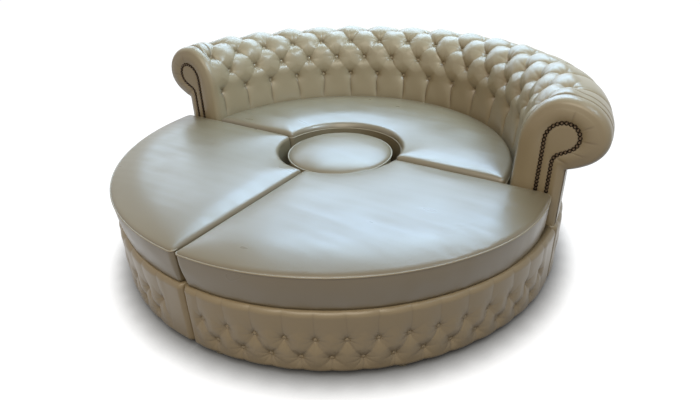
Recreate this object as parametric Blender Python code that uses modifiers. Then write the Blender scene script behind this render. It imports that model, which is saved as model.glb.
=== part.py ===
"""Round sofa in four free-standing units.

A half-round unit carries a deep-buttoned back that rolls over and sweeps round into two scroll arms.
Two quarter-round ottomans close the circle in front of it, and a round pouf stands in the middle.
Metres, +Z up, floor at z = 0, arms along X, back towards +Y. Every piece is built about the middle
of the round seat, and each unit hangs on an empty that stands there.
"""
import math

import bmesh
import bpy
import numpy as np
from mathutils import Matrix, Vector

# Driving dimensions: the plan, from the middle of the round seat
seat_radius = 1.050
base_setback = 0.004
base_pad_depth = 0.046
back_setback = 0.019
back_thickness = 0.213
pouf_radius = 0.250
well_gap = 0.042
unit_gap = 0.006

# Driving dimensions: heights above the floor
foot_height = 0.020
base_top = 0.285
ottoman_seam_height = 0.430
rear_seam_height = 0.439
pouf_seam_height = 0.404
back_height = 0.816

# Carcass: timber, boards, cloth and plain covers
clearance = 0.0003
rail_thickness = 0.025
deck_thickness = 0.012
cloth_thickness = 0.0012
side_cover_thickness = 0.010
drum_wall = 0.012
pouf_cover_thickness = 0.005

# Feet: low turned glides
foot_radius = 0.032
foot_edge_inset = 0.051
foot_well_inset = 0.070
foot_toe_share = 0.8
foot_shoulder_share = 0.45
outer_foot_inset_angle = math.radians(6)
rear_well_foot_angle = math.radians(25)
pouf_foot_inset = 0.060

# Buttoned base
base_button_pitch = math.radians(6)
base_first_button = math.radians(3.75)
base_lower_buttons = 0.080
base_button_rise = 0.080
base_tuft_depth = 0.020
base_edge_roll = 0.018
base_plain_end = math.radians(3.4)
base_roll_power = 4
base_calm_power = 6
base_calm_share = 0.7

# Seat cushions
piping_radius = 0.004
seam_half_height = 0.006
seat_crown = 0.026
seat_crown_power = 2.4
pouf_crown = 0.045
pouf_crown_power = 1.5
crown_reach = 0.170
seat_draw_in = 0.004
boxing_draw_in = 0.016
boxing_middle_share = 1 / 3
corner_pull = 0.006
corner_draw = 0.046
corner_draw_angle = math.radians(27)
rear_seat_ease = 0.002

# Back and arms: the rolled section, outwards from the inner face and down from the top
back_lean = 0.012
roll_inner_reach = 0.160
roll_outer_reach = 0.175
roll_centre_drop = 0.151
roll_spring_drop = 0.216
roll_underside_drop = 0.286

# Back and arms: buttons, heights down from the top
back_button_columns = 16
back_button_rows = 4
back_first_row_drop = 0.241
back_plain_drop = 0.376
back_row_spacing = 0.105
back_tuft_depth = 0.030
back_skin_share = 0.8
tuft_fullness = 0.7

# Back and arms: what is inside and behind
back_pad_depth = 0.082
back_frame_ease = 0.0015
back_frame_drop = 0.156
back_rail_height = 0.060
back_post_width = 0.050
back_post_setback = 0.010
back_posts = 7
outer_panel_thickness = 0.0107

# Arm fronts, in layers from the front: nail trim, keyhole panel, padded facing
facing_thickness = 0.020
facing_edge_round = 0.009
nail_trim_depth = 0.006
nail_trim_width = 0.0170
arm_panel_thickness = 0.0027
panel_inner_margin = 0.1135
panel_stem_width = 0.0435
panel_head_offset = 0.0735
panel_head_drop = 0.168
panel_head_reach = 0.070
panel_head_rise = 0.076
panel_scroll_radius = 0.056
panel_scroll_end = math.radians(-66)
panel_neck_radius = 0.047
panel_neck_drop = 0.108
panel_neck_start = math.radians(104)
panel_foot_margin = 0.010

# Fineness of round stretches
outer_step = math.radians(6)
well_step = math.radians(15)
back_step_divisions = 2
turned_steps = 24
foot_steps = 12
section_points = 24
direction_share = 0.01
under_roll_rows = 6
columns_per_button = 4
panel_arc_step = math.radians(15)
pouf_dome_steps = 6
edge_margin_share = 0.1
merge_share = 0.1
sharp_angle = math.radians(40)

# Seat grids: points across the seat, with the shares that the first two steps in from the rim reach
rear_seat_columns = (26, 0.012, 0.04)
rear_seat_rows = (9, 0.03, 0.1)
ottoman_seat_columns = (18, 0.015, 0.05)
ottoman_seat_rows = (10, 0.02, 0.07)

# Counts in the carcass
rear_bay_count = 4
ottoman_bay_count = 2
rear_edge_foot_count = 5
ottoman_edge_foot_count = 3
pouf_foot_count = 4

# Sizes that follow from the ones above
half_gap = unit_gap / 2
well_radius = pouf_radius + well_gap
base_radius = seat_radius - base_setback
frame_radius = base_radius - base_pad_depth
back_outer_radius = seat_radius - back_setback
back_inner_radius = back_outer_radius - back_thickness
roll_centre_radius = back_inner_radius + back_lean + roll_inner_reach
roll_centre_height = back_height - roll_centre_drop
roll_spring_height = back_height - roll_spring_drop
roll_underside = back_height - roll_underside_drop
back_first_row_height = back_height - back_first_row_drop
back_plain_height = back_height - back_plain_drop
back_pitch = math.pi / back_button_columns
cloth_bottom = foot_height + clearance
frame_bottom = cloth_bottom + cloth_thickness + clearance
deck_bottom = base_top - deck_thickness
frame_top = deck_bottom - clearance
side_inset = half_gap + side_cover_thickness
frame_inset = side_inset + clearance
frame_well_radius = well_radius + side_cover_thickness + clearance
carcass_radius = frame_radius * math.cos(outer_step / 2)
back_foot = base_top + clearance
back_frame_outer = back_outer_radius - outer_panel_thickness - clearance
back_frame_inner = back_inner_radius + back_pad_depth
back_frame_top = back_height - back_frame_drop
facing_front = half_gap + nail_trim_depth
arm_end = facing_front + facing_thickness
pouf_drum_radius = pouf_radius - pouf_cover_thickness - clearance
piping_room = 2 * piping_radius + clearance

# The origin lies on the floor under the middle of the whole sofa's outline
whole_back = roll_centre_radius + roll_outer_reach
seat_centre = Vector((0, (seat_radius - whole_back) / 2, 0))

# Colours, linear, with roughness and metallic value
finishes = {
    "seat_leather": ((0.46, 0.43, 0.36), 0.30, 0.0),
    "back_leather": ((0.55, 0.49, 0.37), 0.32, 0.0),
    "piping_leather": ((0.50, 0.46, 0.38), 0.35, 0.0),
    "nail_brass": ((0.10, 0.07, 0.04), 0.35, 1.0),
    "timber": ((0.55, 0.40, 0.24), 0.70, 0.0),
    "plywood": ((0.62, 0.48, 0.31), 0.75, 0.0),
    "dust_cloth": ((0.03, 0.03, 0.03), 0.95, 0.0),
    "foot_lacquer": ((0.60, 0.56, 0.46), 0.45, 0.0),
}


# Scene and objects
def clear_scene():
    """Remove what the scene holds."""
    for thing in list(bpy.data.objects):
        bpy.data.objects.remove(thing, do_unlink=True)


def new_collection(name):
    """Return a collection linked to the scene."""
    collection = bpy.data.collections.new(name)
    bpy.context.scene.collection.children.link(collection)
    return collection


def new_unit(name):
    """Return the empty that a free-standing unit's pieces hang on."""
    unit = bpy.data.objects.new(name, None)
    unit.location = seat_centre
    bpy.context.scene.collection.objects.link(unit)
    return unit


def piece_material(name, finish):
    """Make a piece's own Principled material in one of the sofa's finishes."""
    colour, roughness, metallic = finishes[finish]
    made = bpy.data.materials.new(name)
    made.use_nodes = True
    shader = made.node_tree.nodes["Principled BSDF"]
    shader.inputs["Base Color"].default_value = (*colour, 1)
    shader.inputs["Roughness"].default_value = roughness
    shader.inputs["Metallic"].default_value = metallic
    made.diffuse_color = (*colour, 1)
    return made


def place(name, data, unit, finish, height=0):
    """Put data in the sofa's collection as a piece of a unit."""
    piece = bpy.data.objects.new(name, data)
    data.materials.append(piece_material(name, finish))
    piece.parent = unit
    piece.location = (0, 0, height)
    sofa_pieces.objects.link(piece)
    return piece


def mesh_from(bm, name, smooth=True):
    """Turn a bmesh into a mesh with its faces pointing out."""
    bmesh.ops.recalc_face_normals(bm, faces=bm.faces)
    mesh = bpy.data.meshes.new(name)
    bm.to_mesh(mesh)
    bm.free()
    if smooth:
        mesh.shade_smooth()
        mesh.set_sharp_from_angle(angle=sharp_angle)
    return mesh


# Outlines in plan
def polar(radius, angle, height=0):
    """Return the point at a radius and angle round the seat's middle."""
    return Vector((radius * math.cos(angle), radius * math.sin(angle), height))


def arc_angles(start, end, step, start_trim, end_trim):
    """Angles from start to end: every whole step between the two trimmed ends."""
    first, last = start + start_trim, end - end_trim
    count = round((end - start) / step)
    inside = [start + (end - start) * i / count for i in range(count + 1)]
    margin = step * edge_margin_share
    return [first] + [a for a in inside if first + margin < a < last - margin] + [last]


def sector_outline(inner, outer, start, end, inset, steps=(outer_step, well_step)):
    """Outline of a ring sector whose straight sides stand inset from its two radial planes."""
    outer_trim, inner_trim = math.asin(inset / outer), math.asin(inset / inner)
    outside = [polar(outer, a) for a in arc_angles(start, end, steps[0], outer_trim, outer_trim)]
    inside = [polar(inner, a) for a in arc_angles(start, end, steps[1], inner_trim, inner_trim)]
    return outside + inside[::-1]


def side_cover_outline(start, end):
    """Outline of the plain cover that wraps both straight sides and the well of a unit."""
    reach = carcass_radius
    face = sector_outline(well_radius, reach, start, end, half_gap)
    back = sector_outline(well_radius + side_cover_thickness, reach, start, end, side_inset)
    outer_count = len(arc_angles(start, end, outer_step, 0, 0))
    return face[outer_count - 1:] + face[:1] + back[:1] + back[:outer_count - 2:-1]


def outline_curve(name, loops):
    """Return a filled 2D curve of closed loops; a loop inside another is a hole."""
    curve = bpy.data.curves.new(name, "CURVE")
    curve.dimensions = "2D"
    curve.fill_mode = "BOTH"
    for loop in loops:
        spline = curve.splines.new("POLY")
        spline.points.add(len(loop) - 1)
        for point, corner in zip(spline.points, loop):
            point.co = (corner[0], corner[1], 0, 1)
        spline.use_cyclic_u = True
    return curve


def board(name, loops, bottom, top, unit, finish):
    """Place a flat piece of the given plan outlines between two heights."""
    curve = outline_curve(name, loops)
    curve.extrude = (top - bottom) / 2
    return place(name, curve, unit, finish, (top + bottom) / 2)


def upright_board(name, loops, front, back, unit, finish, edge_round=0):
    """Place a flat piece that stands across Y, its outline given in X and Z."""
    curve = outline_curve(name, loops)
    curve.extrude = (back - front) / 2 - edge_round
    curve.bevel_depth = edge_round
    curve.bevel_resolution = 1
    curve.offset = -edge_round
    piece = place(name, curve, unit, finish)
    piece.location = (0, (front + back) / 2, 0)
    piece.rotation_euler = (math.pi / 2, 0, 0)
    return piece


# Turned and bent pieces
def turned(name, profile, steps, unit, finish, centre=(0, 0)):
    """Place a solid turned about a vertical axis from a profile of radius and height."""
    bm = bmesh.new()
    ring = [bm.verts.new((radius, 0, height)) for radius, height in profile]
    for upper, lower in zip(ring, ring[1:]):
        bm.edges.new((upper, lower))
    if profile[0][0] > 0:
        bm.edges.new((ring[-1], ring[0]))
    mesh = bpy.data.meshes.new(name)
    bm.to_mesh(mesh)
    bm.free()
    piece = place(name, mesh, unit, finish)
    piece.location = (centre[0], centre[1], 0)
    screw = piece.modifiers.new("Turn", "SCREW")
    screw.axis = "Z"
    screw.steps = steps
    screw.render_steps = steps
    screw.use_merge_vertices = True
    screw.merge_threshold = clearance * merge_share
    return piece


def piping(name, path, unit):
    """Place a closed run of piping along a path of points."""
    curve = bpy.data.curves.new(name, "CURVE")
    curve.dimensions = "3D"
    curve.bevel_depth = piping_radius
    curve.bevel_resolution = 1
    spline = curve.splines.new("POLY")
    spline.points.add(len(path) - 1)
    for point, place_on_seam in zip(spline.points, path):
        point.co = (*place_on_seam, 1)
    spline.use_cyclic_u = True
    return place(name, curve, unit, "piping_leather")


# Lofts and crowned forms
def stretched_skin(bm, rows):
    """Skin rows of points with triangles, each cell cut along its lower diagonal of height.

    rows holds pairs of a point and its height above the deepest fold.
    """
    grid = [[bm.verts.new(point) for point, _ in row] for row in rows]
    for i in range(len(rows) - 1):
        for j in range(len(rows[0]) - 1):
            corners = (grid[i][j], grid[i][j + 1], grid[i + 1][j + 1], grid[i + 1][j])
            one = rows[i][j][1] + rows[i + 1][j + 1][1]
            other = rows[i][j + 1][1] + rows[i + 1][j][1]
            shift = 0 if one <= other else 1
            a, b, c, d = corners[shift:] + corners[:shift]
            bm.faces.new((a, b, c))
            bm.faces.new((a, c, d))
    return grid


def lofted_pad(name, face_rows, back_rows, unit, finish):
    """Place a pad whose fine buttoned face is lofted onto a plainer back, row ends in line."""
    bm = bmesh.new()
    face = stretched_skin(bm, face_rows)
    back = stretched_skin(bm, [[(point, 0) for point in row] for row in back_rows])
    for i in (0, -1):
        bm.faces.new(face[i] + back[i][::-1])
        bm.faces.new([row[i] for row in face] + [row[i] for row in back[::-1]])
    return place(name, mesh_from(bm, name), unit, finish)


def tuft_height(across, rows_up, last_row):
    """Height of a buttoned surface from 0 in its folds and buttons to 1 on its puffs.

    across counts buttons along the first row and rows_up counts rows from it. Between the first and
    last row the folds run slantwise from button to button; beyond them each button's fold runs straight.
    """
    up = min(max(rows_up, 0), last_row)
    one = abs(math.sin(math.pi * (across - up / 2)))
    other = abs(math.sin(math.pi * (across + up / 2)))
    return (one * other) ** tuft_fullness


def smooth_step(value, low, high):
    """Rise smoothly from 0 at low to 1 at high."""
    t = min(max((value - low) / (high - low), 0), 1)
    return t * t * (3 - 2 * t)


def mitred_offset(path, distance):
    """Push a closed plan path outwards by a distance, keeping its sides parallel."""
    count = len(path)
    area = sum(path[i - 1].x * path[i].y - path[i].x * path[i - 1].y for i in range(count))
    side = 1 if area > 0 else -1
    pushed = []
    for i, point in enumerate(path):
        before = (point - path[i - 1]).normalized()
        after = (path[(i + 1) % count] - point).normalized()
        first = Vector((before.y, -before.x, 0)) * side
        second = Vector((after.y, -after.x, 0)) * side
        pushed.append(point + (first + second) * distance / (1 + first.dot(second)))
    return pushed


# Buttoned base
def base_face_rows(start, end):
    """Points of the buttoned base's face, row by row from its lower edge to its top."""
    fold_step = base_button_pitch / columns_per_button
    count = round((end - start) / fold_step)
    angles = [fold_step * (i + 0.5) for i in range(count)]
    upper_row = base_lower_buttons + base_button_rise
    lower_edge = (cloth_bottom + base_lower_buttons) / 2
    upper_edge = (base_top + upper_row) / 2
    heights = [cloth_bottom, lower_edge, base_lower_buttons, (base_lower_buttons + upper_row) / 2,
               upper_row, upper_edge, base_top]
    middle, half = (base_top + cloth_bottom) / 2, (base_top - cloth_bottom) / 2
    rows = []
    for height in heights:
        edge = abs(height - middle) / half
        radius = base_radius - base_edge_roll * edge ** base_roll_power
        rows_up = (height - base_lower_buttons) / base_button_rise
        calm = 1 - base_calm_share * edge ** base_calm_power
        row = []
        for i, angle in enumerate([0] + angles + [end - start]):
            across = (angle - base_first_button) / base_button_pitch - 0.5
            at_end = i in (0, count + 1)
            plain = end - start - angle < base_plain_end
            puff = 1 if plain else tuft_height(across, rows_up, 1)
            sink = base_edge_roll / 2 if at_end else base_tuft_depth * calm * (1 - puff)
            skin = radius - sink
            trim = math.asin(half_gap / skin) if at_end else 0
            turn = start + angle + (trim if i == 0 else -trim)
            row.append((polar(skin, turn, height), puff))
        rows.append(row)
    return rows


def buttoned_base(name, start, end, unit):
    """Place the buttoned cover round the outside of a unit's base."""
    inner = frame_radius + clearance
    trim = math.asin(half_gap / inner)
    angles = arc_angles(start, end, outer_step, trim, trim)
    back = [[polar(inner, a, height) for a in angles] for height in (cloth_bottom, base_top)]
    return lofted_pad(name, base_face_rows(start, end), back, unit, "back_leather")


# Carcass of a base
def base_cells(start, end, bays):
    """Outlines of the open bays between the ribs of a base frame."""
    width = (end - start) / bays
    inner = frame_well_radius + rail_thickness
    outer = carcass_radius - rail_thickness
    cells = []
    for i in range(bays):
        low, high = start + width * i, start + width * (i + 1)
        low_inset = frame_inset + rail_thickness if i == 0 else rail_thickness / 2
        high_inset = frame_inset + rail_thickness if i == bays - 1 else rail_thickness / 2
        outside = [polar(outer, a) for a in arc_angles(
            low, high, outer_step, math.asin(low_inset / outer), math.asin(high_inset / outer))]
        inside = [polar(inner, a) for a in arc_angles(
            low, high, well_step, math.asin(low_inset / inner), math.asin(high_inset / inner))]
        cells.append(outside + inside[::-1])
    return cells


def carcass(prefix, start, end, bays, unit):
    """Place the dust cloth, timber frame and plywood deck of a base, and its two kinds of cover."""
    plan = sector_outline(frame_well_radius, carcass_radius, start, end, frame_inset)
    board(prefix + "_dust_cloth", [plan], cloth_bottom, cloth_bottom + cloth_thickness, unit, "dust_cloth")
    frame_loops = [plan] + base_cells(start, end, bays)
    board(prefix + "_base_frame", frame_loops, frame_bottom, frame_top, unit, "timber")
    board(prefix + "_seat_deck", [plan], deck_bottom, base_top, unit, "plywood")
    side_plan = side_cover_outline(start, end)
    board(prefix + "_side_cover", [side_plan], cloth_bottom, base_top, unit, "back_leather")
    buttoned_base(prefix + "_buttoned_base", start, end, unit)


def foot(name, centre, unit):
    """Place one low turned foot."""
    profile = [(0, foot_height), (foot_radius, foot_height),
               (foot_radius, foot_height * foot_shoulder_share),
               (foot_radius * foot_toe_share, 0), (0, 0)]
    turned(name, profile, foot_steps, unit, "foot_lacquer", centre)


def feet(prefix, places, unit):
    """Place a unit's feet at the given radii and angles."""
    for number, (radius, angle) in enumerate(places, 1):
        foot(f"{prefix}_foot_{number}", polar(radius, angle), unit)


def outer_foot_places(start, end, count):
    """Radii and angles of the feet under the outer edge of a unit."""
    first, last = start + outer_foot_inset_angle, end - outer_foot_inset_angle
    return [(base_radius - foot_edge_inset, first + (last - first) * i / (count - 1)) for i in range(count)]


# Seat cushions
def crown_shares(count, first, second):
    """Shares from 0 to 1 that lie close together at both ends."""
    inner = [second + (1 - 2 * second) * i / (count - 4) for i in range(count - 3)]
    return [0, first] + inner + [1 - first, 1]


def seat_top(inner, outer, start, end, inset, seam_height, along, across, draw):
    """Grid of points of a crowned seat between two radii, rows running outwards.

    draw is how far the rim is drawn in at its last corner.
    """
    rows = []
    for i in across:
        side = inset + seat_draw_in * math.sin(math.pi * i)
        row = []
        for j in along:
            to_end = (end - start) * (1 - j)
            reach = outer - draw * max(1 - to_end / corner_draw_angle, 0) ** 2
            radius = inner + (reach - inner) * i
            trim = math.asin(side / radius)
            angle = start + trim + (end - start - 2 * trim) * j
            to_side = radius * math.sin(min((end - start) / 2, abs(angle - start), abs(end - angle)))
            edge = min(radius - inner, reach - radius, max(to_side - inset, 0))
            rise = 1 - (1 - min(edge / crown_reach, 1)) ** seat_crown_power
            corner = corner_pull if i in (0, 1) and j in (0, 1) else 0
            pulled = radius + (corner if i == 0 else -corner)
            turn = angle + math.copysign(corner / radius, 0.5 - j) if corner else angle
            row.append(polar(pulled, turn, seam_height + seam_half_height + seat_crown * rise))
        rows.append(row)
    return rows


def seat_cushion(prefix, inner, outer, start, end, seam_height, columns, lines, unit, draw=0):
    """Place a crowned, boxed seat cushion and the piping along its upper seam."""
    bm = bmesh.new()
    inset = half_gap + piping_room
    along, across = crown_shares(*columns), crown_shares(*lines)
    rows = seat_top(inner, outer, start, end, inset, seam_height, along, across, draw)
    grid = [[bm.verts.new(point) for point in row] for row in rows]
    for low, high in zip(grid, grid[1:]):
        for k in range(len(low) - 1):
            bm.faces.new((low[k], low[k + 1], high[k + 1], high[k]))
    rim = grid[0] + [row[-1] for row in grid[1:]]
    rim += grid[-1][-2::-1] + [row[0] for row in grid[-2:0:-1]]
    outline = [Vector((v.co.x, v.co.y, 0)) for v in rim]
    seam_low = seam_height - seam_half_height
    bottom = base_top + clearance
    middle = ((seam_low + bottom) / 2, boxing_draw_in * boxing_middle_share)
    sides = [(seam_low, 0), middle, (bottom, boxing_draw_in)]
    ring = rim
    for height, pull in sides:
        level = [bm.verts.new((p.x, p.y, height)) for p in mitred_offset(outline, -pull)]
        for k in range(len(ring)):
            bm.faces.new((ring[k - 1], ring[k], level[k], level[k - 1]))
        ring = level
    bm.faces.new(ring)
    place(prefix + "_seat_cushion", mesh_from(bm, prefix), unit, "seat_leather")
    path = mitred_offset(outline, piping_radius + clearance)
    piping(prefix + "_seat_piping", [(p.x, p.y, seam_height) for p in path], unit)


# Rolled back
def back_section():
    """Skin of the back in radius and height: up its inner face, over the roll and under it."""
    rise = back_height - roll_spring_height
    drop = roll_centre_height - roll_underside
    last = -math.acos((back_outer_radius - roll_centre_radius) / roll_outer_reach)
    skin = [(back_inner_radius, back_foot)]
    for i in range(section_points):
        t = math.pi / 2 * i / section_points
        skin.append((roll_centre_radius - roll_inner_reach * math.cos(t),
                     roll_spring_height + rise * math.sin(t)))
    for i in range(section_points + 1):
        t = math.pi / 2 + (last - math.pi / 2) * i / section_points
        reach = roll_centre_drop if t > 0 else drop
        skin.append((roll_centre_radius + roll_outer_reach * math.cos(t),
                     roll_centre_height + reach * math.sin(t)))
    return np.array(skin)


def skin_at(skin, distance):
    """Point and outward direction of the back's skin at a distance along it."""
    steps = np.hypot(*np.diff(skin, axis=0).T)
    run = np.concatenate(([0], np.cumsum(steps)))
    fine = run[-1] * direction_share
    low, high = max(distance - fine, 0), min(distance + fine, run[-1])
    ends = [(np.interp(d, run, skin[:, 0]), np.interp(d, run, skin[:, 1])) for d in (low, high)]
    along = Vector(ends[1]) - Vector(ends[0])
    outward = Vector((-along.y, along.x)).normalized()
    return Vector((np.interp(distance, run, skin[:, 0]), np.interp(distance, run, skin[:, 1]))), outward


def back_face_rows(skin):
    """Points of the buttoned back, row by row from the seat, over the roll and under it."""
    length = np.hypot(*np.diff(skin, axis=0).T).sum()
    first = back_first_row_height - back_foot
    plain = back_plain_height - back_foot
    last = first + back_row_spacing * (back_button_rows - 1)
    distances = [0, plain, (plain + first) / 2]
    distances += [first + back_row_spacing * i / 2 for i in range(2 * back_button_rows - 1)]
    under = under_roll_rows
    distances += [last + (length - last) * (i + 1) / under for i in range(under)]
    columns = back_button_columns * columns_per_button
    rows = []
    for distance in distances:
        (radius, height), outward = skin_at(skin, distance)
        rows_up = (distance - first) / back_row_spacing
        calm = smooth_step(distance, plain, first) * (1 - smooth_step(distance, last, length))
        row = []
        for i in range(columns + 1):
            across = i / columns_per_button - 0.5
            puff = tuft_height(across, rows_up, back_button_rows - 1)
            at_end = i in (0, columns)
            push = 0 if at_end else back_tuft_depth * calm * (puff - back_skin_share)
            skin_radius = radius + push * outward.x
            turn = math.pi * i / columns
            if at_end:
                turn = abs(turn - math.asin(arm_end / skin_radius))
            row.append((polar(skin_radius, turn, height + push * outward.y), puff))
        rows.append(row)
    return rows


def back_cover(unit):
    """Place the buttoned cover that saddles the back frame and rolls over it."""
    skin = back_section()
    inner = back_frame_inner - clearance
    outer = back_frame_outer + clearance
    top = back_frame_top + clearance
    lip = skin[-1][1]
    back = []
    for radius, height in ((inner, back_foot), (inner, top), (outer, top), (outer, lip)):
        trim = math.asin(arm_end / radius)
        angles = arc_angles(0, math.pi, back_pitch / back_step_divisions, trim, trim)
        back.append([polar(radius, a, height) for a in angles])
    lofted_pad("back_buttoned_cover", back_face_rows(skin), back, unit, "back_leather")


def prism(bm, outline, bottom, top):
    """Add a straight prism of a plan outline to a bmesh."""
    floor = bm.faces.new([bm.verts.new((p[0], p[1], bottom)) for p in outline])
    raised = bmesh.ops.extrude_face_region(bm, geom=[floor])
    verts = [v for v in raised["geom"] if isinstance(v, bmesh.types.BMVert)]
    bmesh.ops.translate(bm, verts=verts, vec=(0, 0, top - bottom))


def back_frame(unit):
    """Place the timber back frame: two bent rails joined by posts."""
    inner = back_frame_inner + back_frame_ease
    outer = back_frame_outer - back_frame_ease
    front = arm_end + clearance
    step = back_pitch / back_step_divisions
    plan = sector_outline(inner, outer, 0, math.pi, front, (step, step))
    bm = bmesh.new()
    prism(bm, plan, back_foot, back_foot + back_rail_height)
    prism(bm, plan, back_frame_top - back_rail_height, back_frame_top)
    frame = place("back_frame", mesh_from(bm, "back_frame", smooth=False), unit, "timber")
    bm = bmesh.new()
    depth = outer - inner - 2 * back_post_setback
    low = back_foot + back_rail_height / 2
    high = back_frame_top - back_rail_height / 2
    end_angle = math.asin((front + back_post_width) / inner)
    for i in range(back_posts):
        angle = end_angle + (math.pi - 2 * end_angle) * i / (back_posts - 1)
        middle = polar((inner + outer) / 2, angle, (low + high) / 2)
        size = Matrix.Diagonal((depth, back_post_width, high - low, 1))
        spot = Matrix.Translation(middle) @ Matrix.Rotation(angle, 4, "Z") @ size
        bmesh.ops.create_cube(bm, size=1, matrix=spot)
    posts = bpy.data.objects.new("back_posts", mesh_from(bm, "back_posts", smooth=False))
    posts.parent = unit
    posts.hide_render = True
    posts.display_type = "WIRE"
    joining_shapes.objects.link(posts)
    union = frame.modifiers.new("Posts", "BOOLEAN")
    union.operation = "UNION"
    union.object = posts


def outer_back_panel(unit):
    """Place the plain panel that closes the back's outside below the roll."""
    step = back_pitch / back_step_divisions
    lip = back_section()[-1][1]
    plan = sector_outline(back_frame_outer + clearance, back_outer_radius, 0, math.pi,
                          arm_end + clearance, (step, step))
    board("outer_back_panel", [plan], back_foot, lip - clearance, unit, "back_leather")


# Arm fronts
def arc_points(centre, reach, rise, start, end):
    """Points of an elliptic arc in X and Z."""
    count = round(abs(end - start) / panel_arc_step)
    angles = [start + (end - start) * i / count for i in range(count + 1)]
    return [(centre[0] + reach * math.cos(a), centre[1] + rise * math.sin(a)) for a in angles]


def keyhole_path():
    """Path of the nail trim on the right arm: up the stem, round the head and down again."""
    inner_run = back_inner_radius + panel_inner_margin
    outer_run = inner_run + panel_stem_width
    foot_level = back_foot + panel_foot_margin
    head = (inner_run + panel_head_offset, back_height - panel_head_drop)
    scroll = (head[0], head[1] + panel_head_rise - panel_scroll_radius)
    neck = (outer_run + panel_neck_radius, scroll[1] - panel_neck_drop)
    top = math.pi / 2
    path = [(inner_run, foot_level)]
    path += arc_points(head, panel_head_reach, panel_head_rise, math.pi, top)
    path += arc_points(scroll, panel_scroll_radius, panel_scroll_radius, top, panel_scroll_end)[1:]
    path += arc_points(neck, panel_neck_radius, panel_neck_radius, panel_neck_start, math.pi)
    path.append((outer_run, foot_level))
    return path


def offset_path(path, distance):
    """Push an open path sideways by a distance."""
    pushed = []
    for i, (x, z) in enumerate(path):
        before = path[max(i - 1, 0)]
        after = path[min(i + 1, len(path) - 1)]
        along = Vector((after[0] - before[0], after[1] - before[1])).normalized()
        pushed.append((x - along.y * distance, z + along.x * distance))
    return pushed


def arm_front(side, name, unit):
    """Place one arm's padded facing, keyhole panel and nail trim.

    side is 1 on the right and -1 on the left.
    """
    skin = back_section()
    facing = [tuple(p) for p in skin[::2]] + [tuple(skin[-1]), (back_outer_radius, back_foot)]
    trim = keyhole_path()
    half = nail_trim_width / 2
    outer_edge, inner_edge = offset_path(trim, half), offset_path(trim, -half)
    panel = offset_path(trim, -half - clearance)
    loops = (facing, panel, outer_edge + inner_edge[::-1])
    mirrored = [[(side * x, z) for x, z in loop] for loop in loops]
    rear = facing_front - clearance
    upright_board(name + "_arm_facing", mirrored[:1], facing_front, arm_end - clearance, unit,
                  "back_leather", facing_edge_round)
    upright_board(name + "_arm_panel", mirrored[1:2], rear - arm_panel_thickness, rear, unit,
                  "back_leather")
    upright_board(name + "_arm_nail_trim", mirrored[2:], half_gap, rear, unit, "nail_brass")


# The four units
def rear_unit():
    """Place the half-round unit with the rolled back and arms."""
    unit = new_unit("rear_unit")
    carcass("rear", 0, math.pi, rear_bay_count, unit)
    back_frame(unit)
    back_cover(unit)
    outer_back_panel(unit)
    arm_front(1, "right", unit)
    arm_front(-1, "left", unit)
    seat_cushion("rear", well_radius + piping_room, back_inner_radius - rear_seat_ease - piping_room,
                 0, math.pi, rear_seam_height, rear_seat_columns, rear_seat_rows, unit)
    places = outer_foot_places(0, math.pi, rear_edge_foot_count)
    inner = frame_well_radius + foot_well_inset
    places += [(inner, rear_well_foot_angle), (inner, math.pi - rear_well_foot_angle)]
    feet("rear", places, unit)


def ottoman(name, start, end, draw=0):
    """Place one quarter-round ottoman, its seat's last corner drawn in."""
    unit = new_unit(name)
    carcass(name, start, end, ottoman_bay_count, unit)
    seat_cushion(name, well_radius + piping_room, seat_radius - piping_room, start, end,
                 ottoman_seam_height, ottoman_seat_columns, ottoman_seat_rows, unit, draw)
    places = outer_foot_places(start, end, ottoman_edge_foot_count)
    places.append((frame_well_radius + foot_well_inset, (start + end) / 2))
    feet(name, places, unit)


def pouf():
    """Place the round pouf that stands in the well."""
    unit = new_unit("pouf")
    inner = pouf_drum_radius - drum_wall
    cover_inner = pouf_radius - pouf_cover_thickness
    board_bottom = pouf_seam_height - seam_half_height - deck_thickness - clearance
    drum_top = board_bottom - clearance
    disc = [polar(pouf_drum_radius, 2 * math.pi * i / turned_steps) for i in range(turned_steps)]
    cloth_top = cloth_bottom + cloth_thickness
    board("pouf_dust_cloth", [disc], cloth_bottom, cloth_top, unit, "dust_cloth")
    drum = [(inner, drum_top), (pouf_drum_radius, drum_top),
            (pouf_drum_radius, frame_bottom), (inner, frame_bottom)]
    turned("pouf_drum", drum, turned_steps, unit, "plywood")
    board("pouf_top_board", [disc], board_bottom, board_bottom + deck_thickness, unit, "plywood")
    cover_top = board_bottom + deck_thickness
    cover = [(cover_inner, cover_top), (pouf_radius, cover_top), (pouf_radius, cloth_bottom),
             (cover_inner, cloth_bottom)]
    turned("pouf_side_cover", cover, turned_steps, unit, "back_leather")
    crown_base = pouf_seam_height + seam_half_height
    turns = [math.pi / 2 * i / pouf_dome_steps for i in range(pouf_dome_steps)]
    dome = [(pouf_radius * math.sin(t), crown_base + pouf_crown * math.cos(t) ** pouf_crown_power)
            for t in turns]
    dome += [(pouf_radius, crown_base), (pouf_radius, cover_top + clearance), (0, cover_top + clearance)]
    turned("pouf_seat_cushion", dome, turned_steps, unit, "seat_leather")
    run = pouf_radius + (piping_radius + clearance) / math.cos(math.pi / turned_steps)
    ring = [polar(run, 2 * math.pi * i / turned_steps, pouf_seam_height) for i in range(turned_steps)]
    piping("pouf_seat_piping", ring, unit)
    foot_turns = [2 * math.pi * (i + 0.5) / pouf_foot_count for i in range(pouf_foot_count)]
    feet("pouf", [(pouf_drum_radius - pouf_foot_inset, turn) for turn in foot_turns], unit)


clear_scene()
sofa_pieces = new_collection("round_sofa")
joining_shapes = new_collection("joining_shapes")
rear_unit()
ottoman("left_ottoman", math.pi, 1.5 * math.pi)
ottoman("right_ottoman", 1.5 * math.pi, 2 * math.pi, corner_draw)
pouf()
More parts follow.
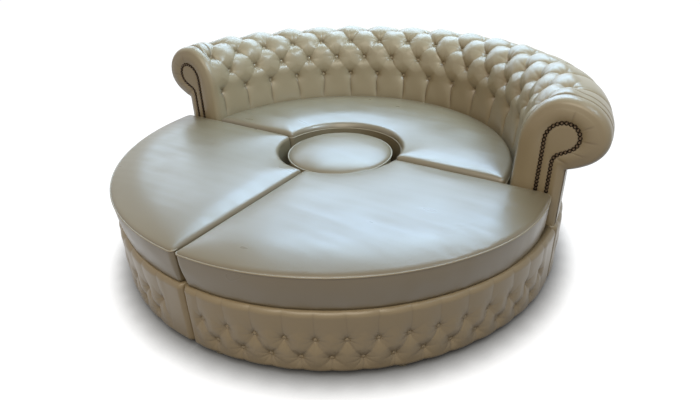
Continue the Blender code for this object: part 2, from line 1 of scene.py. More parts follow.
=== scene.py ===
"""Visual model of a round sofa in four free-standing units.

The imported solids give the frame. Every covering, cushion, button, nail and foot that shows is made here
as a finer mesh in the same place, and the timber, boards and dust cloths inside keep their solids.
Metres, +Z up. Coverings are worked out about the middle of the round seat and then set down there.
"""
from math import acos, asin, cos, degrees, pi, radians, sin

import bmesh
import bpy
import numpy as np
from mathutils import Matrix, Vector


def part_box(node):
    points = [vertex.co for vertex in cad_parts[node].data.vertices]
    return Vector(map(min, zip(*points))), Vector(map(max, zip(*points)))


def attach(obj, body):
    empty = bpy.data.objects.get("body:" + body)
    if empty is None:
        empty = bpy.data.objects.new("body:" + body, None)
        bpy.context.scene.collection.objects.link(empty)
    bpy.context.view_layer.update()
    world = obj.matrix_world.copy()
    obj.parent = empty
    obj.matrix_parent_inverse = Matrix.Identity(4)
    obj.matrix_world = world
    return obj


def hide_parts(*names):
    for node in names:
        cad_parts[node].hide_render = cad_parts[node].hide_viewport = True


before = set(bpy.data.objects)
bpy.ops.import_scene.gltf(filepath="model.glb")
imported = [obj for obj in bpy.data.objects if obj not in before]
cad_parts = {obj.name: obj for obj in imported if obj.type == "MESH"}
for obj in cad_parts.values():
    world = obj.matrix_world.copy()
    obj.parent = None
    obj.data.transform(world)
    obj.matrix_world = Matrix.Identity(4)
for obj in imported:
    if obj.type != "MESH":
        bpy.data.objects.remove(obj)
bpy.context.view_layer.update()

# Plan, from the middle of the round seat
seat_radius = 1.050
base_radius = 1.046
carcass_radius = 0.9986
back_inner_radius = 0.818
back_outer_radius = 1.031
roll_centre_radius = 0.990
roll_inner_reach = 0.160
roll_outer_reach = 0.175
well_radius = 0.292
pouf_radius = 0.250
half_gap = 0.003
back_gap = 0.002
seat_centre = Vector((0, -0.0575, 0))

# Heights above the floor
foot_height = 0.020
cover_bottom = 0.0203
base_top = 0.285
back_foot = base_top + 0.0003
ottoman_seam_height = 0.430
rear_seam_height = 0.439
pouf_seam_height = 0.404
roll_spring_height = 0.600
roll_centre_height = 0.665
roll_underside = 0.530
outer_panel_top = 0.5335
back_height = 0.816

# Unevenness of the padding: depth, wavelength and seed
back_ripple = (0.0012, 0.16, 3)
base_ripple = (0.0010, 0.11, 5)
panel_ripple = (0.0011, 0.22, 17)
seat_ripple = (0.0018, 0.30, 11)
boxing_ripple = (0.0014, 0.12, 13)
pouf_ripple = (0.0012, 0.16, 23)
ripple_waves = 6
ripple_stretch = (0.7, 1.5)

# Points round the domes of buttons and nails
dome_spokes = 14


# Number helpers
def eased(value, low, high):
    """Rise smoothly from 0 at low to 1 at high."""
    t = np.clip((np.asarray(value, float) - low) / (high - low), 0, 1)
    return t * t * (3 - 2 * t)


def near_edge(distance, depth, reach, power):
    """Fall from depth at an edge to nothing at a distance of reach."""
    return depth * np.clip(1 - distance / reach, 0, 1) ** power


def fading(distance, reach, power=1):
    """Fall from 1 at no distance towards 0, most of it within the reach."""
    return np.exp(-(distance / reach) ** power)


def lengths(points):
    """Distance along a polyline at each of its points."""
    steps = np.linalg.norm(np.diff(points, axis=0), axis=1)
    return np.concatenate(([0], np.cumsum(steps)))


def resampled(points, distances):
    """Points of a polyline at the given distances along it."""
    run = lengths(points)
    return np.stack([np.interp(distances, run, column) for column in np.asarray(points).T], axis=-1)


def left_normals(points):
    """Unit normals on the left of a polyline in two dimensions."""
    along = np.gradient(points, axis=0)
    along /= np.linalg.norm(along, axis=1, keepdims=True)
    return np.stack([-along[:, 1], along[:, 0]], axis=-1)


def ripple(points, depth, wavelength, seed):
    """Gentle unevenness at each point, up to the depth, in waves of about the given length."""
    waves = np.random.default_rng(seed)
    total = np.zeros(points.shape[:-1])
    for _ in range(ripple_waves):
        direction = waves.normal(size=3)
        direction /= np.linalg.norm(direction)
        stretch = waves.uniform(*ripple_stretch)
        phase = waves.uniform(0, 2 * pi)
        total += np.sin(points @ direction * (2 * pi * stretch / wavelength) + phase)
    return depth * total / ripple_waves


def polar(radius, angle, height):
    """Stack of points at radii, angles and heights round the seat's middle."""
    radius, angle, height = np.broadcast_arrays(radius, angle, height)
    return np.stack([radius * np.cos(angle), radius * np.sin(angle), height], axis=-1)


def full_turn(count):
    """Evenly spaced angles all the way round."""
    return np.arange(count) * 2 * pi / count


# Mesh helpers
def grid_faces(rows, columns, wrap_rows=False, wrap_columns=False):
    """Corner numbers of the cells of a grid of points."""
    number = np.arange(rows * columns).reshape(rows, columns)
    if wrap_rows:
        number = np.vstack([number, number[:1]])
    if wrap_columns:
        number = np.hstack([number, number[:, :1]])
    corners = (number[:-1, :-1], number[:-1, 1:], number[1:, 1:], number[1:, :-1])
    return np.stack([c.ravel() for c in corners], axis=-1)


def capped_faces(rows, columns):
    """Faces of a band whose rows close on themselves, with a cap on its first and last column."""
    number = np.arange(rows * columns).reshape(rows, columns)
    cells = grid_faces(rows, columns, wrap_rows=True).tolist()
    return cells + [number[:, 0].tolist(), number[::-1, -1].tolist()]


def around_rim(grid):
    """Values of a grid along its rim, as one closed run."""
    return np.concatenate([grid[0], grid[1:, -1], grid[-1, -2::-1], grid[-2:0:-1, 0]])


def raised(plan, height):
    """Points of a plan at one height or at one each."""
    return np.column_stack([plan, np.full(len(plan), height)])


def placed(name, data):
    """Put data into the scene as an object."""
    made = bpy.data.objects.new(name, data)
    bpy.context.scene.collection.objects.link(made)
    return made


def new_piece(name, points, body, slot, faces=None, wrap_rows=False, wrap_columns=False, replaced=True,
              **values):
    """Make a smooth mesh from points about the seat's middle and let it ride on a body.

    Without faces the points are a grid. The material is the slot's. The piece stands in for the solid
    of its name, unless replaced is False or names another solid.
    """
    if faces is None:
        faces = grid_faces(*points.shape[:2], wrap_rows, wrap_columns)
    mesh = bpy.data.meshes.new(name)
    mesh.from_pydata((points.reshape(-1, 3) + np.array(seat_centre)).tolist(), [], [list(f) for f in faces])
    for key, numbers in values.items():
        attribute = mesh.attributes.new(key, "FLOAT", "POINT")
        attribute.data.foreach_set("value", numbers.ravel().astype(np.float32))
    bm = bmesh.new()
    bm.from_mesh(mesh)
    bmesh.ops.recalc_face_normals(bm, faces=bm.faces)
    bm.to_mesh(mesh)
    bm.free()
    mesh.shade_smooth()
    mesh.materials.append(coverings[slot])
    piece = placed(name + "_detailed" if replaced else name, mesh)
    if replaced:
        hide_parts(name if replaced is True else replaced)
    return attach(piece, body)


def domes(places, frames, radius, rise):
    """Points and faces of domes at places, each turned by a frame of two side directions and its axis.

    radius and rise are the sizes of a dome's rings and their heights above the place.
    """
    turn = full_turn(dome_spokes)
    local = np.stack([
        np.outer(radius, np.cos(turn)),
        np.outer(radius, np.sin(turn)),
        np.outer(rise, np.ones(dome_spokes)),
    ], axis=-1).reshape(-1, 3)
    cell = grid_faces(len(radius), dome_spokes, wrap_columns=True)
    points = [local @ np.array(directions) + place for place, directions in zip(places, frames)]
    faces = [cell + i * len(local) for i in range(len(points))]
    return np.concatenate(points), np.concatenate(faces)


# Shader helpers
def put(tree, socket, value):
    """Give a socket a value or, if the value is a socket itself, a link from it."""
    if isinstance(value, bpy.types.NodeSocket):
        tree.links.new(value, socket)
    elif socket.type == "RGBA":
        socket.default_value = (*value, 1)
    else:
        socket.default_value = value


def node(tree, kind, *first, **settings):
    """Add a shader node, and fill its first sockets in order and others or its properties by name."""
    made = tree.nodes.new(kind)
    for key, value in settings.items():
        if hasattr(made, key):
            setattr(made, key, value)
        else:
            put(tree, made.inputs[key.replace("_", " ")], value)
    for socket, value in zip(made.inputs, first):
        put(tree, socket, value)
    return made


def new_material(name, roughness, **constants):
    """Make a material and return it with its node tree, its shader and the place on the object."""
    material = bpy.data.materials.new(name)
    material.use_nodes = True
    tree = material.node_tree
    shader = tree.nodes["Principled BSDF"]
    for key, value in {"Roughness": roughness, **constants}.items():
        put(tree, shader.inputs[key.replace("_", " ")], value)
    return material, tree, shader, node(tree, "ShaderNodeTexCoord").outputs["Object"]


def mixed_colour(tree, share, first, second):
    """Mix two colours, each a tuple or a socket, by a share's socket."""
    mix = node(tree, "ShaderNodeMix", share, data_type="RGBA")
    for socket, colour in zip(mix.inputs[6:8], (first, second)):
        put(tree, socket, colour)
    return mix.outputs[2]


def ranged(tree, value, from_low, from_high, to_low, to_high):
    """Map a value's socket from one range to another."""
    return node(tree, "ShaderNodeMapRange", value, from_low, from_high, to_low, to_high).outputs["Result"]


def noise(tree, place, scale, detail, roughness=0.5, distortion=0.0):
    """Value of a noise pattern at a place socket."""
    made = node(tree, "ShaderNodeTexNoise", Vector=place, Scale=scale, Detail=detail, Roughness=roughness,
                Distortion=distortion)
    return made.outputs["Fac"]


def stretched_place(tree, place, scale, turn):
    """Scale and turn a place socket, so that a pattern runs long in one direction."""
    return node(tree, "ShaderNodeMapping", Vector=place, Scale=scale, Rotation=(0, 0, turn)).outputs[0]


def attribute_value(tree, name):
    """Value of a mesh attribute."""
    return node(tree, "ShaderNodeAttribute", attribute_name=name).outputs["Fac"]


def maths(tree, operation, *values):
    """Result of a maths node."""
    return node(tree, "ShaderNodeMath", *values, operation=operation).outputs[0]


def bump(tree, shader, height, strength, depth):
    """Let a height socket roughen a shader's surface."""
    made = node(tree, "ShaderNodeBump", Height=height, Strength=strength, Distance=depth)
    put(tree, shader.inputs["Normal"], made.outputs["Normal"])


# Materials: noise patterns are given by scale, detail, roughness and distortion
leather_roughness = 0.4
slow_tone_noise = (2.6, 3, 0.55)
fine_tone_noise = (26, 2)
sheen_noise = (7, 2)
brushed_noise = (2.6, 1)
wrinkle_noise = (55, 3, 0.6, 0.6)
brushed_stretch = (1.2, 9.0, 4.0)
brushed_turn = radians(-24)
slow_tone_range = (-0.3, 1.3)
fine_tone_most = 0.4
pale_share = 1.07
speck_share = 0.97
deep_shares = (0.93, 0.92, 0.89)
sheen_range = (-0.015, 0.155)
wrinkle_depth = 0.002
grain_noise = (1.6, 6, 0.6, 0.8)
grain_stretch = (6, 60, 90)
grain_turn = radians(20)
grain_range = (0.3, 0.75)
cloth_noise = (30, 3)
mottled_range = (0.3, 0.7)
worn_noise = (160, 3, 0.6)
spot_range = (0.35, 0.75)
worn_range = (0.3, 0.7)
worn_roughness = (0.48, 0.26)
hammered_noise = (420, 2)
thread_width = 0.0011


def leather(name, colour, fold_colour, gloss, streaks=0.0, wrinkles=0.0, specular=0.5):
    """Leather with slow and fine changes of tone, painted shade in folds, seams and hollows, brushed sheen
    and fine wrinkles.
    """
    material, tree, shader, place = new_material(name, leather_roughness, Specular_IOR_Level=specular)
    pale, speck = (tuple(c * share for c in colour) for share in (pale_share, speck_share))
    deep = tuple(c * share for c, share in zip(colour, deep_shares))
    slow = ranged(tree, noise(tree, place, *slow_tone_noise), 0, 1, *slow_tone_range)
    fine = ranged(tree, noise(tree, place, *fine_tone_noise), 0, 1, 0, fine_tone_most)
    tone = mixed_colour(tree, fine, mixed_colour(tree, slow, deep, pale), speck)
    # Painted shade: a point attribute darkens the tone in creases, pits, gathers, seams and underneath
    folded = mixed_colour(tree, attribute_value(tree, "fold"), tone, fold_colour)
    put(tree, shader.inputs["Base Color"], folded)
    sheen = ranged(tree, noise(tree, place, *sheen_noise), 0, 1, *(gloss + change for change in sheen_range))
    if streaks:
        brushed = noise(tree, stretched_place(tree, place, brushed_stretch, brushed_turn), *brushed_noise)
        sheen = maths(tree, "ADD", sheen, ranged(tree, brushed, 0, 1, -streaks, streaks))
    put(tree, shader.inputs["Roughness"], sheen)
    if wrinkles:
        bump(tree, shader, noise(tree, place, *wrinkle_noise), wrinkles, wrinkle_depth)
    return material


def timber(name, colour, dark):
    """Sawn softwood with long grain and pores."""
    material, tree, shader, place = new_material(name, roughness=0.62)
    grain = noise(tree, stretched_place(tree, place, grain_stretch, grain_turn), *grain_noise)
    share = ranged(tree, grain, *grain_range, 0, 1)
    put(tree, shader.inputs["Base Color"], mixed_colour(tree, share, colour, dark))
    bump(tree, shader, grain, strength=0.3, depth=0.0008)
    return material


def woven(name, colour, dark):
    """Plain thin cloth with a fine weave."""
    material, tree, shader, place = new_material(name, roughness=0.93)
    bands = [node(tree, "ShaderNodeTexWave", Vector=place, Scale=1 / thread_width, bands_direction=direction)
             for direction in ("X", "Y")]
    crossed = maths(tree, "MAXIMUM", *(band.outputs["Fac"] for band in bands))
    mottled = ranged(tree, noise(tree, place, *cloth_noise), *mottled_range, 0, 1)
    put(tree, shader.inputs["Base Color"], mixed_colour(tree, mottled, dark, colour))
    bump(tree, shader, crossed, strength=0.4, depth=0.0004)
    return material


def antique_nail():
    """Dark antique metal of the nail heads, worn brighter in spots, with a lighter crown that is partly wear
    and partly painted highlight.
    """
    material, tree, shader, place = new_material("antique_nails", roughness=0.36, Metallic=1.0)
    worn = noise(tree, place, *worn_noise)
    spots = ranged(tree, worn, *spot_range, 0, 1)
    dark = mixed_colour(tree, spots, (0.014, 0.009, 0.006), (0.05, 0.033, 0.02))
    # Lighter crown on each nail: partly wear, partly painted highlight
    tone = mixed_colour(tree, attribute_value(tree, "crown"), dark, (0.15, 0.105, 0.065))
    put(tree, shader.inputs["Base Color"], tone)
    put(tree, shader.inputs["Roughness"], ranged(tree, worn, *worn_range, *worn_roughness))
    bump(tree, shader, noise(tree, place, *hammered_noise), strength=0.25, depth=0.0004)
    return material


# Each leather's second colour is the painted shade colour of its folds, seams and hollows
coverings = {
    "seat_leather": leather("seat_leather", (0.180, 0.144, 0.090), (0.12, 0.09, 0.055), 0.27, streaks=0.10,
                            specular=0.75),
    "back_leather": leather("back_leather", (0.285, 0.227, 0.146), (0.11, 0.08, 0.048), 0.27, wrinkles=0.10),
    "piping_leather": leather("piping_leather", (0.29, 0.245, 0.175), (0.13, 0.105, 0.07), 0.30),
    "nail_brass": antique_nail(),
    "foot_lacquer": leather("foot_lacquer", (0.30, 0.27, 0.20), (0.22, 0.19, 0.14), 0.34),
}
frame_timber = timber("frame_timber", (0.56, 0.40, 0.23), (0.36, 0.22, 0.11))
plywood = timber("plywood", (0.60, 0.46, 0.29), (0.42, 0.29, 0.16))
dust_cloth = woven("dust_cloth", (0.030, 0.030, 0.032), (0.016, 0.016, 0.017))

# Tufting: how folds and puffs lie between buttons, the same for back and base
tiny = 1e-6
hash_weights = (12.9898, 78.233, 37.719)
hash_scale = 43758.5453
wander_waves = ((1.9, 2.3), (3.1, -1.7))
wander_reach = 0.030
slant_reach = 0.35
pleat_reach = 0.6
fold_sides = (0.75, 1.2)
fold_at_button = 1.1
puff_power = 0.8
gather_start = 0.011
gather_spokes = 6
gather_twist = 6
# Painted shade: how much darker the creases, pleats, pits and gathers are coloured
crease_shade = 0.8
crease_shade_power = 1.5
far_shade = 0.35
pleat_shade = 0.8
pit_shade = 0.35
gather_shade = 0.4

# Uneven values, as the least and how much more
fold_strength = (0.55, 0.75)
puff_fullness = (0.8, 0.4)
more_spokes = (0, 4)
spoke_turn = (0, 6.3)


def hashed(least, more, *numbers):
    """Fixed uneven values from whole numbers."""
    mixed = sum(np.asarray(number, float) * weight for number, weight in zip(numbers, hash_weights))
    return least + more * np.mod(np.sin(mixed) * hash_scale, 1.0)


def nearest_button(across, up, last_row, width, gap):
    """Distance and bearing of the nearest button at each point, with the button's row and column."""
    nearest = np.full(across.shape, np.inf)
    bearing, rows, columns = np.zeros(across.shape), np.zeros(across.shape), np.zeros(across.shape)
    for row in range(last_row + 1):
        column = np.round(across - row / 2)
        east = (across - column - row / 2) * width
        north = (up - row) * gap
        distance = np.hypot(east, north)
        closer = distance < nearest
        nearest = np.where(closer, distance, nearest)
        bearing = np.where(closer, np.arctan2(north, east), bearing)
        rows = np.where(closer, row, rows)
        columns = np.where(closer, column, columns)
    return nearest, bearing, rows, columns


def folds(across, level, beyond, near, row_share, width, slant, inside, form):
    """Crease and valley of the slanting folds at each point, each from 0 to about 1."""
    creases, valleys = [], []
    for lean in (-1, 1):
        line = across + lean * level / 2
        off = line - np.round(line)
        side = np.where(off * lean > 0, *fold_sides)
        away = np.abs(off) * width * slant / np.where(beyond > 0, 1, 1 + (side - 1) * inside)
        strength = hashed(*fold_strength, np.round(line), np.floor(level - tiny), lean)
        strength = np.where(beyond > 0, form["pleat_share"], strength * row_share)
        strength = strength + (fold_at_button - strength) * near
        creases.append(strength * fading(away, *form["crease"][1:]))
        valleys.append(strength * fading(away, *form["valley"][1:]))
    return np.maximum(*creases), np.maximum(*valleys)


def tufting(across, up, last_row, width, gap, form):
    """Height and share of painted shade of a deep-buttoned surface, relative to its skin.

    across counts buttons along the first row and up counts rows. Between the first and last row the
    folds run slantwise from button to button; beyond them a pleat runs straight from each button. width is
    the real distance between buttons at each point, and gap is the distance between rows.
    """
    nearest, bearing, rows, columns = nearest_button(across, up, last_row, width, gap)
    loose = 1 - fading(nearest, wander_reach, 2)
    across = across + form["wander"] * loose * sum(np.sin(a * across + b * up) for a, b in wander_waves)
    level = np.clip(up, 0, last_row)
    beyond = np.maximum(np.maximum(-up, up - last_row), 0)
    inside = eased(np.minimum(up, last_row - up), 0, slant_reach)
    slant = 1 + (gap / np.hypot(width / 2, gap) - 1) * inside
    near = fading(nearest, form["gather_length"])
    row_share, row_swell = (
        np.interp(level, np.arange(last_row + 1), form[key]) for key in ("row_shares", "row_swells"))
    crease, valley = folds(across, level, beyond, near, row_share, width, slant, inside, form)
    left, right = across - level / 2, across + level / 2
    diamond = np.abs(np.sin(pi * left) * np.sin(pi * right)) ** puff_power
    dimple = 1 - fading(nearest, *form["dimple"])
    swell = form["swell"] * row_swell * hashed(*puff_fullness, np.floor(left), np.floor(right), 5)
    swell = swell + (form["pleat_swell"] - swell) * eased(beyond, 0, pleat_reach)
    spokes = gather_spokes + np.round(hashed(*more_spokes, columns, rows, 1))
    twist = hashed(*spoke_turn, columns, rows, 2) + gather_twist * nearest
    pull = row_swell * fading(nearest, *form["pull"][1:]) * (1 - fading(nearest, gather_start, 2))
    gather = (1 - np.abs(np.sin(spokes / 2 * bearing + twist))) ** 2 * pull
    funnel, pit = (fading(nearest, *form[key][1:]) for key in ("funnel", "pit"))
    pressed = {"crease": crease, "valley": valley, "pull": gather, "funnel": funnel, "pit": pit}
    sunk = sum(form[key][0] * share for key, share in pressed.items())
    # Painted shade in creases, pleats, pits and gathers, as a share from 0 to 1
    near = np.where(beyond > 0, pleat_shade, near)
    shade = crease_shade * crease ** crease_shade_power * (far_shade + (1 - far_shade) * near)
    fold = np.clip(shade + pit_shade * pit + gather_shade * gather, 0, 1)
    return swell * (dimple + (diamond - dimple) * row_share) - sunk, fold


# Buttons
button_rings = 5
button_flatness = 0.34
button_rise = 0.0055
back_button_radius = 0.0095
base_button_radius = 0.0085


def sunk_depth(form):
    """Depth of a button's foot below the skin."""
    return sum(form[key][0] for key in ("crease", "valley", "funnel", "pit")) - button_rise


def buttons(name, spots, radius, body):
    """Make domed covered buttons, each at a radius, angle and height and facing outwards and up by shares."""
    places = [polar(out, turn, height) for out, turn, height, _, _ in spots]
    normals = [polar(outwards, turn, up) for _, turn, _, outwards, up in spots]
    share = np.linspace(0, 1, button_rings)
    frames = [np.array(Vector(normal).to_track_quat("Z", "Y").to_matrix()).T for normal in normals]
    points, faces = domes(places, frames, radius * np.sqrt(1 - share ** 2), radius * button_flatness * share)
    new_piece(name, points, body, "back_leather", faces, replaced=False)


# Rolled back. A form gives the dimple's reach and power, and depth, reach and power of what presses in
back_button_columns = 16
back_pitch = pi / back_button_columns
back_first_row_height = 0.575
back_first_row = back_first_row_height - back_foot
back_row_spacing = 0.105
back_last_row = 3
back_form = {
    "wander": 0.026, "row_shares": (0.05, 0.20, 0.50, 0.60), "row_swells": (0.15, 0.42, 0.95, 1.0),
    "pleat_share": 1.0, "gather_length": 0.024, "swell": 0.015, "pleat_swell": 0.0012,
    "dimple": (0.050, 1.7), "crease": (0.0042, 0.0042, 1.25), "valley": (0.0065, 0.018, 1.6),
    "pull": (0.0070, 0.032), "funnel": (0.017, 0.028, 1.25), "pit": (0.006, 0.0125, 3),
}
back_mesh_rows = 250
back_mesh_columns = 980
skin_points = 600
inner_arc_points = 200
outer_arc_points = 300
back_foot_calm = (0.12, 0.20)
back_lip_calm = 0.10
back_arm_calm = (0.026, 0.080)
lip_tuck_share = 0.985
lip_shade = 0.8

# Pleats across the roll near each arm: distance from the front and depth
arm_pleats = ((0.068, 0.0042), (0.092, 0.0032))
arm_pleat_reach = 0.0036
arm_pleat_rows = (1.2, 2.0)
arm_pleat_bend = 0.020
arm_pleat_wave = 4.2
arm_pleat_phase = 60
arm_pleat_shade = 0.8

# Arm fronts
arm_front = 0.0065
arm_seam = 0.030
arm_round_depth = 0.042
arm_round_inset = 0.036
arm_round_power = 2.2


def back_skin():
    """Smooth skin of the back in radius and height with its outward normals, evenly spaced."""
    quarter = np.linspace(0, pi / 2, inner_arc_points)
    last = -acos((back_outer_radius - roll_centre_radius) / roll_outer_reach)
    inner = np.stack([roll_centre_radius - roll_inner_reach * np.cos(quarter),
                      roll_spring_height + (back_height - roll_spring_height) * np.sin(quarter)], axis=-1)
    over = np.linspace(pi / 2, last, outer_arc_points)[1:]
    reach = np.where(over > 0, back_height - roll_centre_height, roll_centre_height - roll_underside)
    outer = np.stack([roll_centre_radius + roll_outer_reach * np.cos(over),
                      roll_centre_height + reach * np.sin(over)], axis=-1)
    whole = np.concatenate(([(back_inner_radius, back_foot)], inner, outer))
    even = resampled(whole, np.linspace(0, lengths(whole)[-1], skin_points))
    return even, left_normals(even), lengths(even)


def end_rounding(from_front):
    """How far the skin draws in near an arm's front, by the distance from the front plane."""
    t = 1 - np.clip(from_front / arm_round_depth, 0, 1)
    return arm_round_inset * (1 - (1 - t ** arm_round_power) ** (1 / arm_round_power))


def back_relief(angle, along, radius, from_front):
    """Height and share of painted shade of the back's buttoned surface at angles and distances along its
    skin.
    """
    past_first = along - back_first_row
    up = past_first / back_row_spacing
    across = angle / back_pitch - 0.5
    height, fold = tufting(across, up, back_last_row, radius * back_pitch, back_row_spacing, back_form)
    calm = eased(from_front, *back_arm_calm)
    height, fold = height * calm, fold * calm
    rolled = eased(up, *arm_pleat_rows)
    for place, depth in arm_pleats:
        bent = place + arm_pleat_bend * np.sin(arm_pleat_wave * past_first + arm_pleat_phase * place)
        line = rolled * fading(from_front - bent, arm_pleat_reach, 2)
        # The pleats across the roll are painted darker too, as painted shade
        height, fold = height - depth * line, np.maximum(fold, arm_pleat_shade * line)
    return height, fold


def back_cover():
    """Make the buttoned cover of the back with its buttons."""
    skin, normals, run = back_skin()
    level = np.linspace(0, run[-1], back_mesh_rows)
    radius, height, out_radius, out_height = (
        np.interp(level, run, values)[:, None] for values in (*skin.T, *normals.T))
    trim = np.arcsin(arm_seam / radius)
    angle = trim + (pi - 2 * trim) * np.linspace(0, 1, back_mesh_columns)[None, :]
    from_front = radius * np.sin(angle) - arm_front
    along = np.broadcast_to(level[:, None], angle.shape)
    push, fold = back_relief(angle, along, np.broadcast_to(radius, angle.shape), from_front)
    middle = eased(along, *back_foot_calm) * (1 - eased(along, run[-1] - back_lip_calm, run[-1]))
    push = push * middle - end_rounding(from_front)
    points = polar(radius + push * out_radius, angle, height + push * out_height)
    points = points + ripple(points, *back_ripple)[..., None] * polar(out_radius, angle, out_height)
    tucked = points[-1] * np.array([lip_tuck_share, lip_tuck_share, 1.0])
    shades = np.concatenate([fold * middle, np.full((1, back_mesh_columns), lip_shade)])
    cover = new_piece("back_buttoned_cover", np.concatenate([points, tucked[None]]), "rear_unit",
                      "back_leather", fold=shades)
    spots = []
    depth = sunk_depth(back_form)
    for row in range(back_last_row + 1):
        along = back_first_row + row * back_row_spacing
        r, z, nr, nz = (np.interp(along, run, values) for values in (*skin.T, *normals.T))
        for column in range(back_button_columns - row % 2):
            turn = (column + (1 + row % 2) / 2) * back_pitch
            spots.append((r - depth * nr, turn, z - depth * nz, nr, nz))
    buttons("back_buttons", spots, back_button_radius, "rear_unit")


# Keyhole of the nail trim in X and Z: an arc's centre, reach, rise, first and last angle and points
keyhole_foot = 0.2953
keyhole_stem = (0.9315, 0.975)
keyhole_head = ((1.005, 0.648), 0.070, 0.076, 180, 90, 24)
keyhole_scroll = ((1.005, 0.668), 0.056, 0.056, 90, -66, 36)
keyhole_neck = ((1.023, 0.560), 0.047, 0.047, 104, 180, 16)

# Places of the rim and of the nail trim that lie across from each other, and the points between them
rim_marks = ((0.830, 0.600), (0.990, 0.816), (1.165, 0.665), (1.031, 0.534))
trim_marks = ((0.935, 0.640), (1.000, 0.724), (1.061, 0.665), (0.980, 0.577))
facing_counts = (36, 44, 44, 40, 30)
lip_softness = 0.60
lip_points = (150, 168)
mark_search_points = 2000
normal_smoothings = 6

# Arm facing: its rounded edge, then its face from the rim to the nail trim
facing_edge_rows = 12
facing_face_rows = 22
facing_swell = 0.0045
facing_valley = 0.0035
facing_pleat_depth = 0.0013
facing_pleat_reach = 0.0045
facing_pleat_marks = (0.50, 0.585, 0.66, 0.735, 0.80)
facing_hard_share = 0.35
facing_least_softness = 0.3
facing_peak = 1.15
facing_peak_power = 0.8
facing_valley_start = 0.86
facing_shade_start = 0.9
facing_pleat_shade = 0.45
facing_seam_shade = 0.5


def elliptic_arc(centre, reach, rise, start, end, count):
    """Points of an elliptic arc in X and Z, its angles in degrees."""
    turn = np.radians(np.linspace(start, end, count))
    return np.stack([centre[0] + reach * np.cos(turn), centre[1] + rise * np.sin(turn)], axis=-1)


def keyhole():
    """Path of the nail trim on the right arm: up the stem, round the head and down again."""
    head, scroll, neck = (elliptic_arc(*arc) for arc in (keyhole_head, keyhole_scroll, keyhole_neck))
    up, down = ([(x, keyhole_foot)] for x in keyhole_stem)
    return np.concatenate((up, head, scroll[1:], neck, down))


def distance_of(path, point):
    """Distance along a path of its nearest point to a given one."""
    fine = np.linspace(0, lengths(path)[-1], mark_search_points)
    return fine[np.argmin(np.linalg.norm(resampled(path, fine) - np.array(point), axis=1))]


def between_marks(path, marks):
    """Points along a path, evenly spaced between marks, with the facing's count in each stretch."""
    stops = [0] + [distance_of(path, mark) for mark in marks] + [lengths(path)[-1]]
    pieces = []
    for i, count in enumerate(facing_counts):
        share = np.linspace(0, 1, count, endpoint=i == len(facing_counts) - 1)
        pieces.append(resampled(path, stops[i] + (stops[i + 1] - stops[i]) * share))
    return np.concatenate(pieces)


def facing_rims():
    """Outer rim of an arm front, the nail trim's path, and how softly each place of the rim is rounded."""
    skin, _, _ = back_skin()
    rim = between_marks(np.concatenate([skin, [(back_outer_radius, back_foot)]]), rim_marks)
    trim = between_marks(keyhole(), trim_marks)
    softness = 1 - (1 - lip_softness) * eased(np.arange(len(rim)), *lip_points)
    return rim, trim, softness


def rim_normals(rim):
    """Outward normals of the rim, smoothed where it turns in at the lip."""
    normals = left_normals(rim)
    for _ in range(normal_smoothings):
        normals[1:-1] = (normals[:-2] + 2 * normals[1:-1] + normals[2:]) / 4
    return normals / np.linalg.norm(normals, axis=1, keepdims=True)


def arm_facing(side, name):
    """Make the padded front of an arm between its rim and the nail trim."""
    rim, trim, softness = facing_rims()
    normals = rim_normals(rim)
    rows, shades = [], []
    for back in np.linspace(arm_seam - arm_front, 0, facing_edge_rows):
        inset = end_rounding(back / softness.clip(facing_least_softness)) * softness
        spot = rim - normals * inset[:, None]
        rows.append(raised(spot, arm_front + back))
        shades.append(np.zeros(len(rim)))
    edge = spot
    length = lengths(rim)
    pleats = np.zeros(len(rim))
    for mark in facing_pleat_marks:
        pleats += fading(length - mark * length[-1], facing_pleat_reach, 2)
    for share in np.linspace(0, 1, facing_face_rows)[1:]:
        spot = edge + (trim - edge) * share
        bulge = np.sin(pi * min(share * facing_peak, 1)) ** facing_peak_power
        swell = facing_swell * bulge * (facing_hard_share + (1 - facing_hard_share) * softness)
        valley = facing_valley * eased(share, facing_valley_start, 1)
        pleat = pleats * sin(pi * share)
        depth = swell - valley - facing_pleat_depth * pleat
        rows.append(raised(spot, arm_front - depth))
        seam = facing_seam_shade * eased(share, facing_shade_start, 1)
        shades.append(facing_pleat_shade * pleat + seam)
    points = np.stack(rows)[..., [0, 2, 1]] * (side, 1, 1)
    facing = new_piece(name + "_arm_facing", points, "rear_unit", "back_leather", fold=np.stack(shades))


# Arm panel: points along the trim, rows and columns, then its padding
panel_counts = (240, 60, 17)
panel_rise = 0.0030
panel_rise_reach = 0.020
panel_sink = 0.0012
panel_top_margin = 0.0005
panel_top_ease = 0.002
panel_shade = 0.5
panel_shade_reach = (0.003, 0.010)


def arm_panel(side, name):
    """Make the lightly padded panel inside the nail trim."""
    along, rows, columns = panel_counts
    trim = keyhole()
    even = resampled(trim, np.linspace(0, lengths(trim)[-1], along))
    top = np.argmax(even[:, 1])
    up = np.linspace(even[0, 1], even[top, 1] - panel_top_margin, rows)[:, None]
    left = np.interp(up, even[:top + 1, 1], even[:top + 1, 0])
    right = np.interp(up, even[:top - 1:-1, 1], even[:top - 1:-1, 0])
    share = np.linspace(0, 1, columns)[None, :]
    edge = np.minimum(np.minimum(share, 1 - share) * (right - left), up[-1] - up + panel_top_ease)
    depth = panel_rise * eased(edge, 0, panel_rise_reach) - panel_sink
    across, up = np.broadcast_arrays(left + (right - left) * share, up)
    points = np.stack([side * across, arm_front - depth, up], axis=-1)
    new_piece(name + "_arm_panel", points, "rear_unit", "back_leather",
              fold=panel_shade * (1 - eased(edge, *panel_shade_reach)))


# Nail heads
nail_radius = 0.0086
nail_pitch = 0.0165
nail_rings = 7
nail_height_share = 0.55
nail_depth_share = 0.35
nail_sink = 0.0005
# Share of a nail dome where its lighter crown, partly wear and partly painted highlight, starts and is full
nail_worn_and_highlit_crown_shares = (0.62, 0.9)


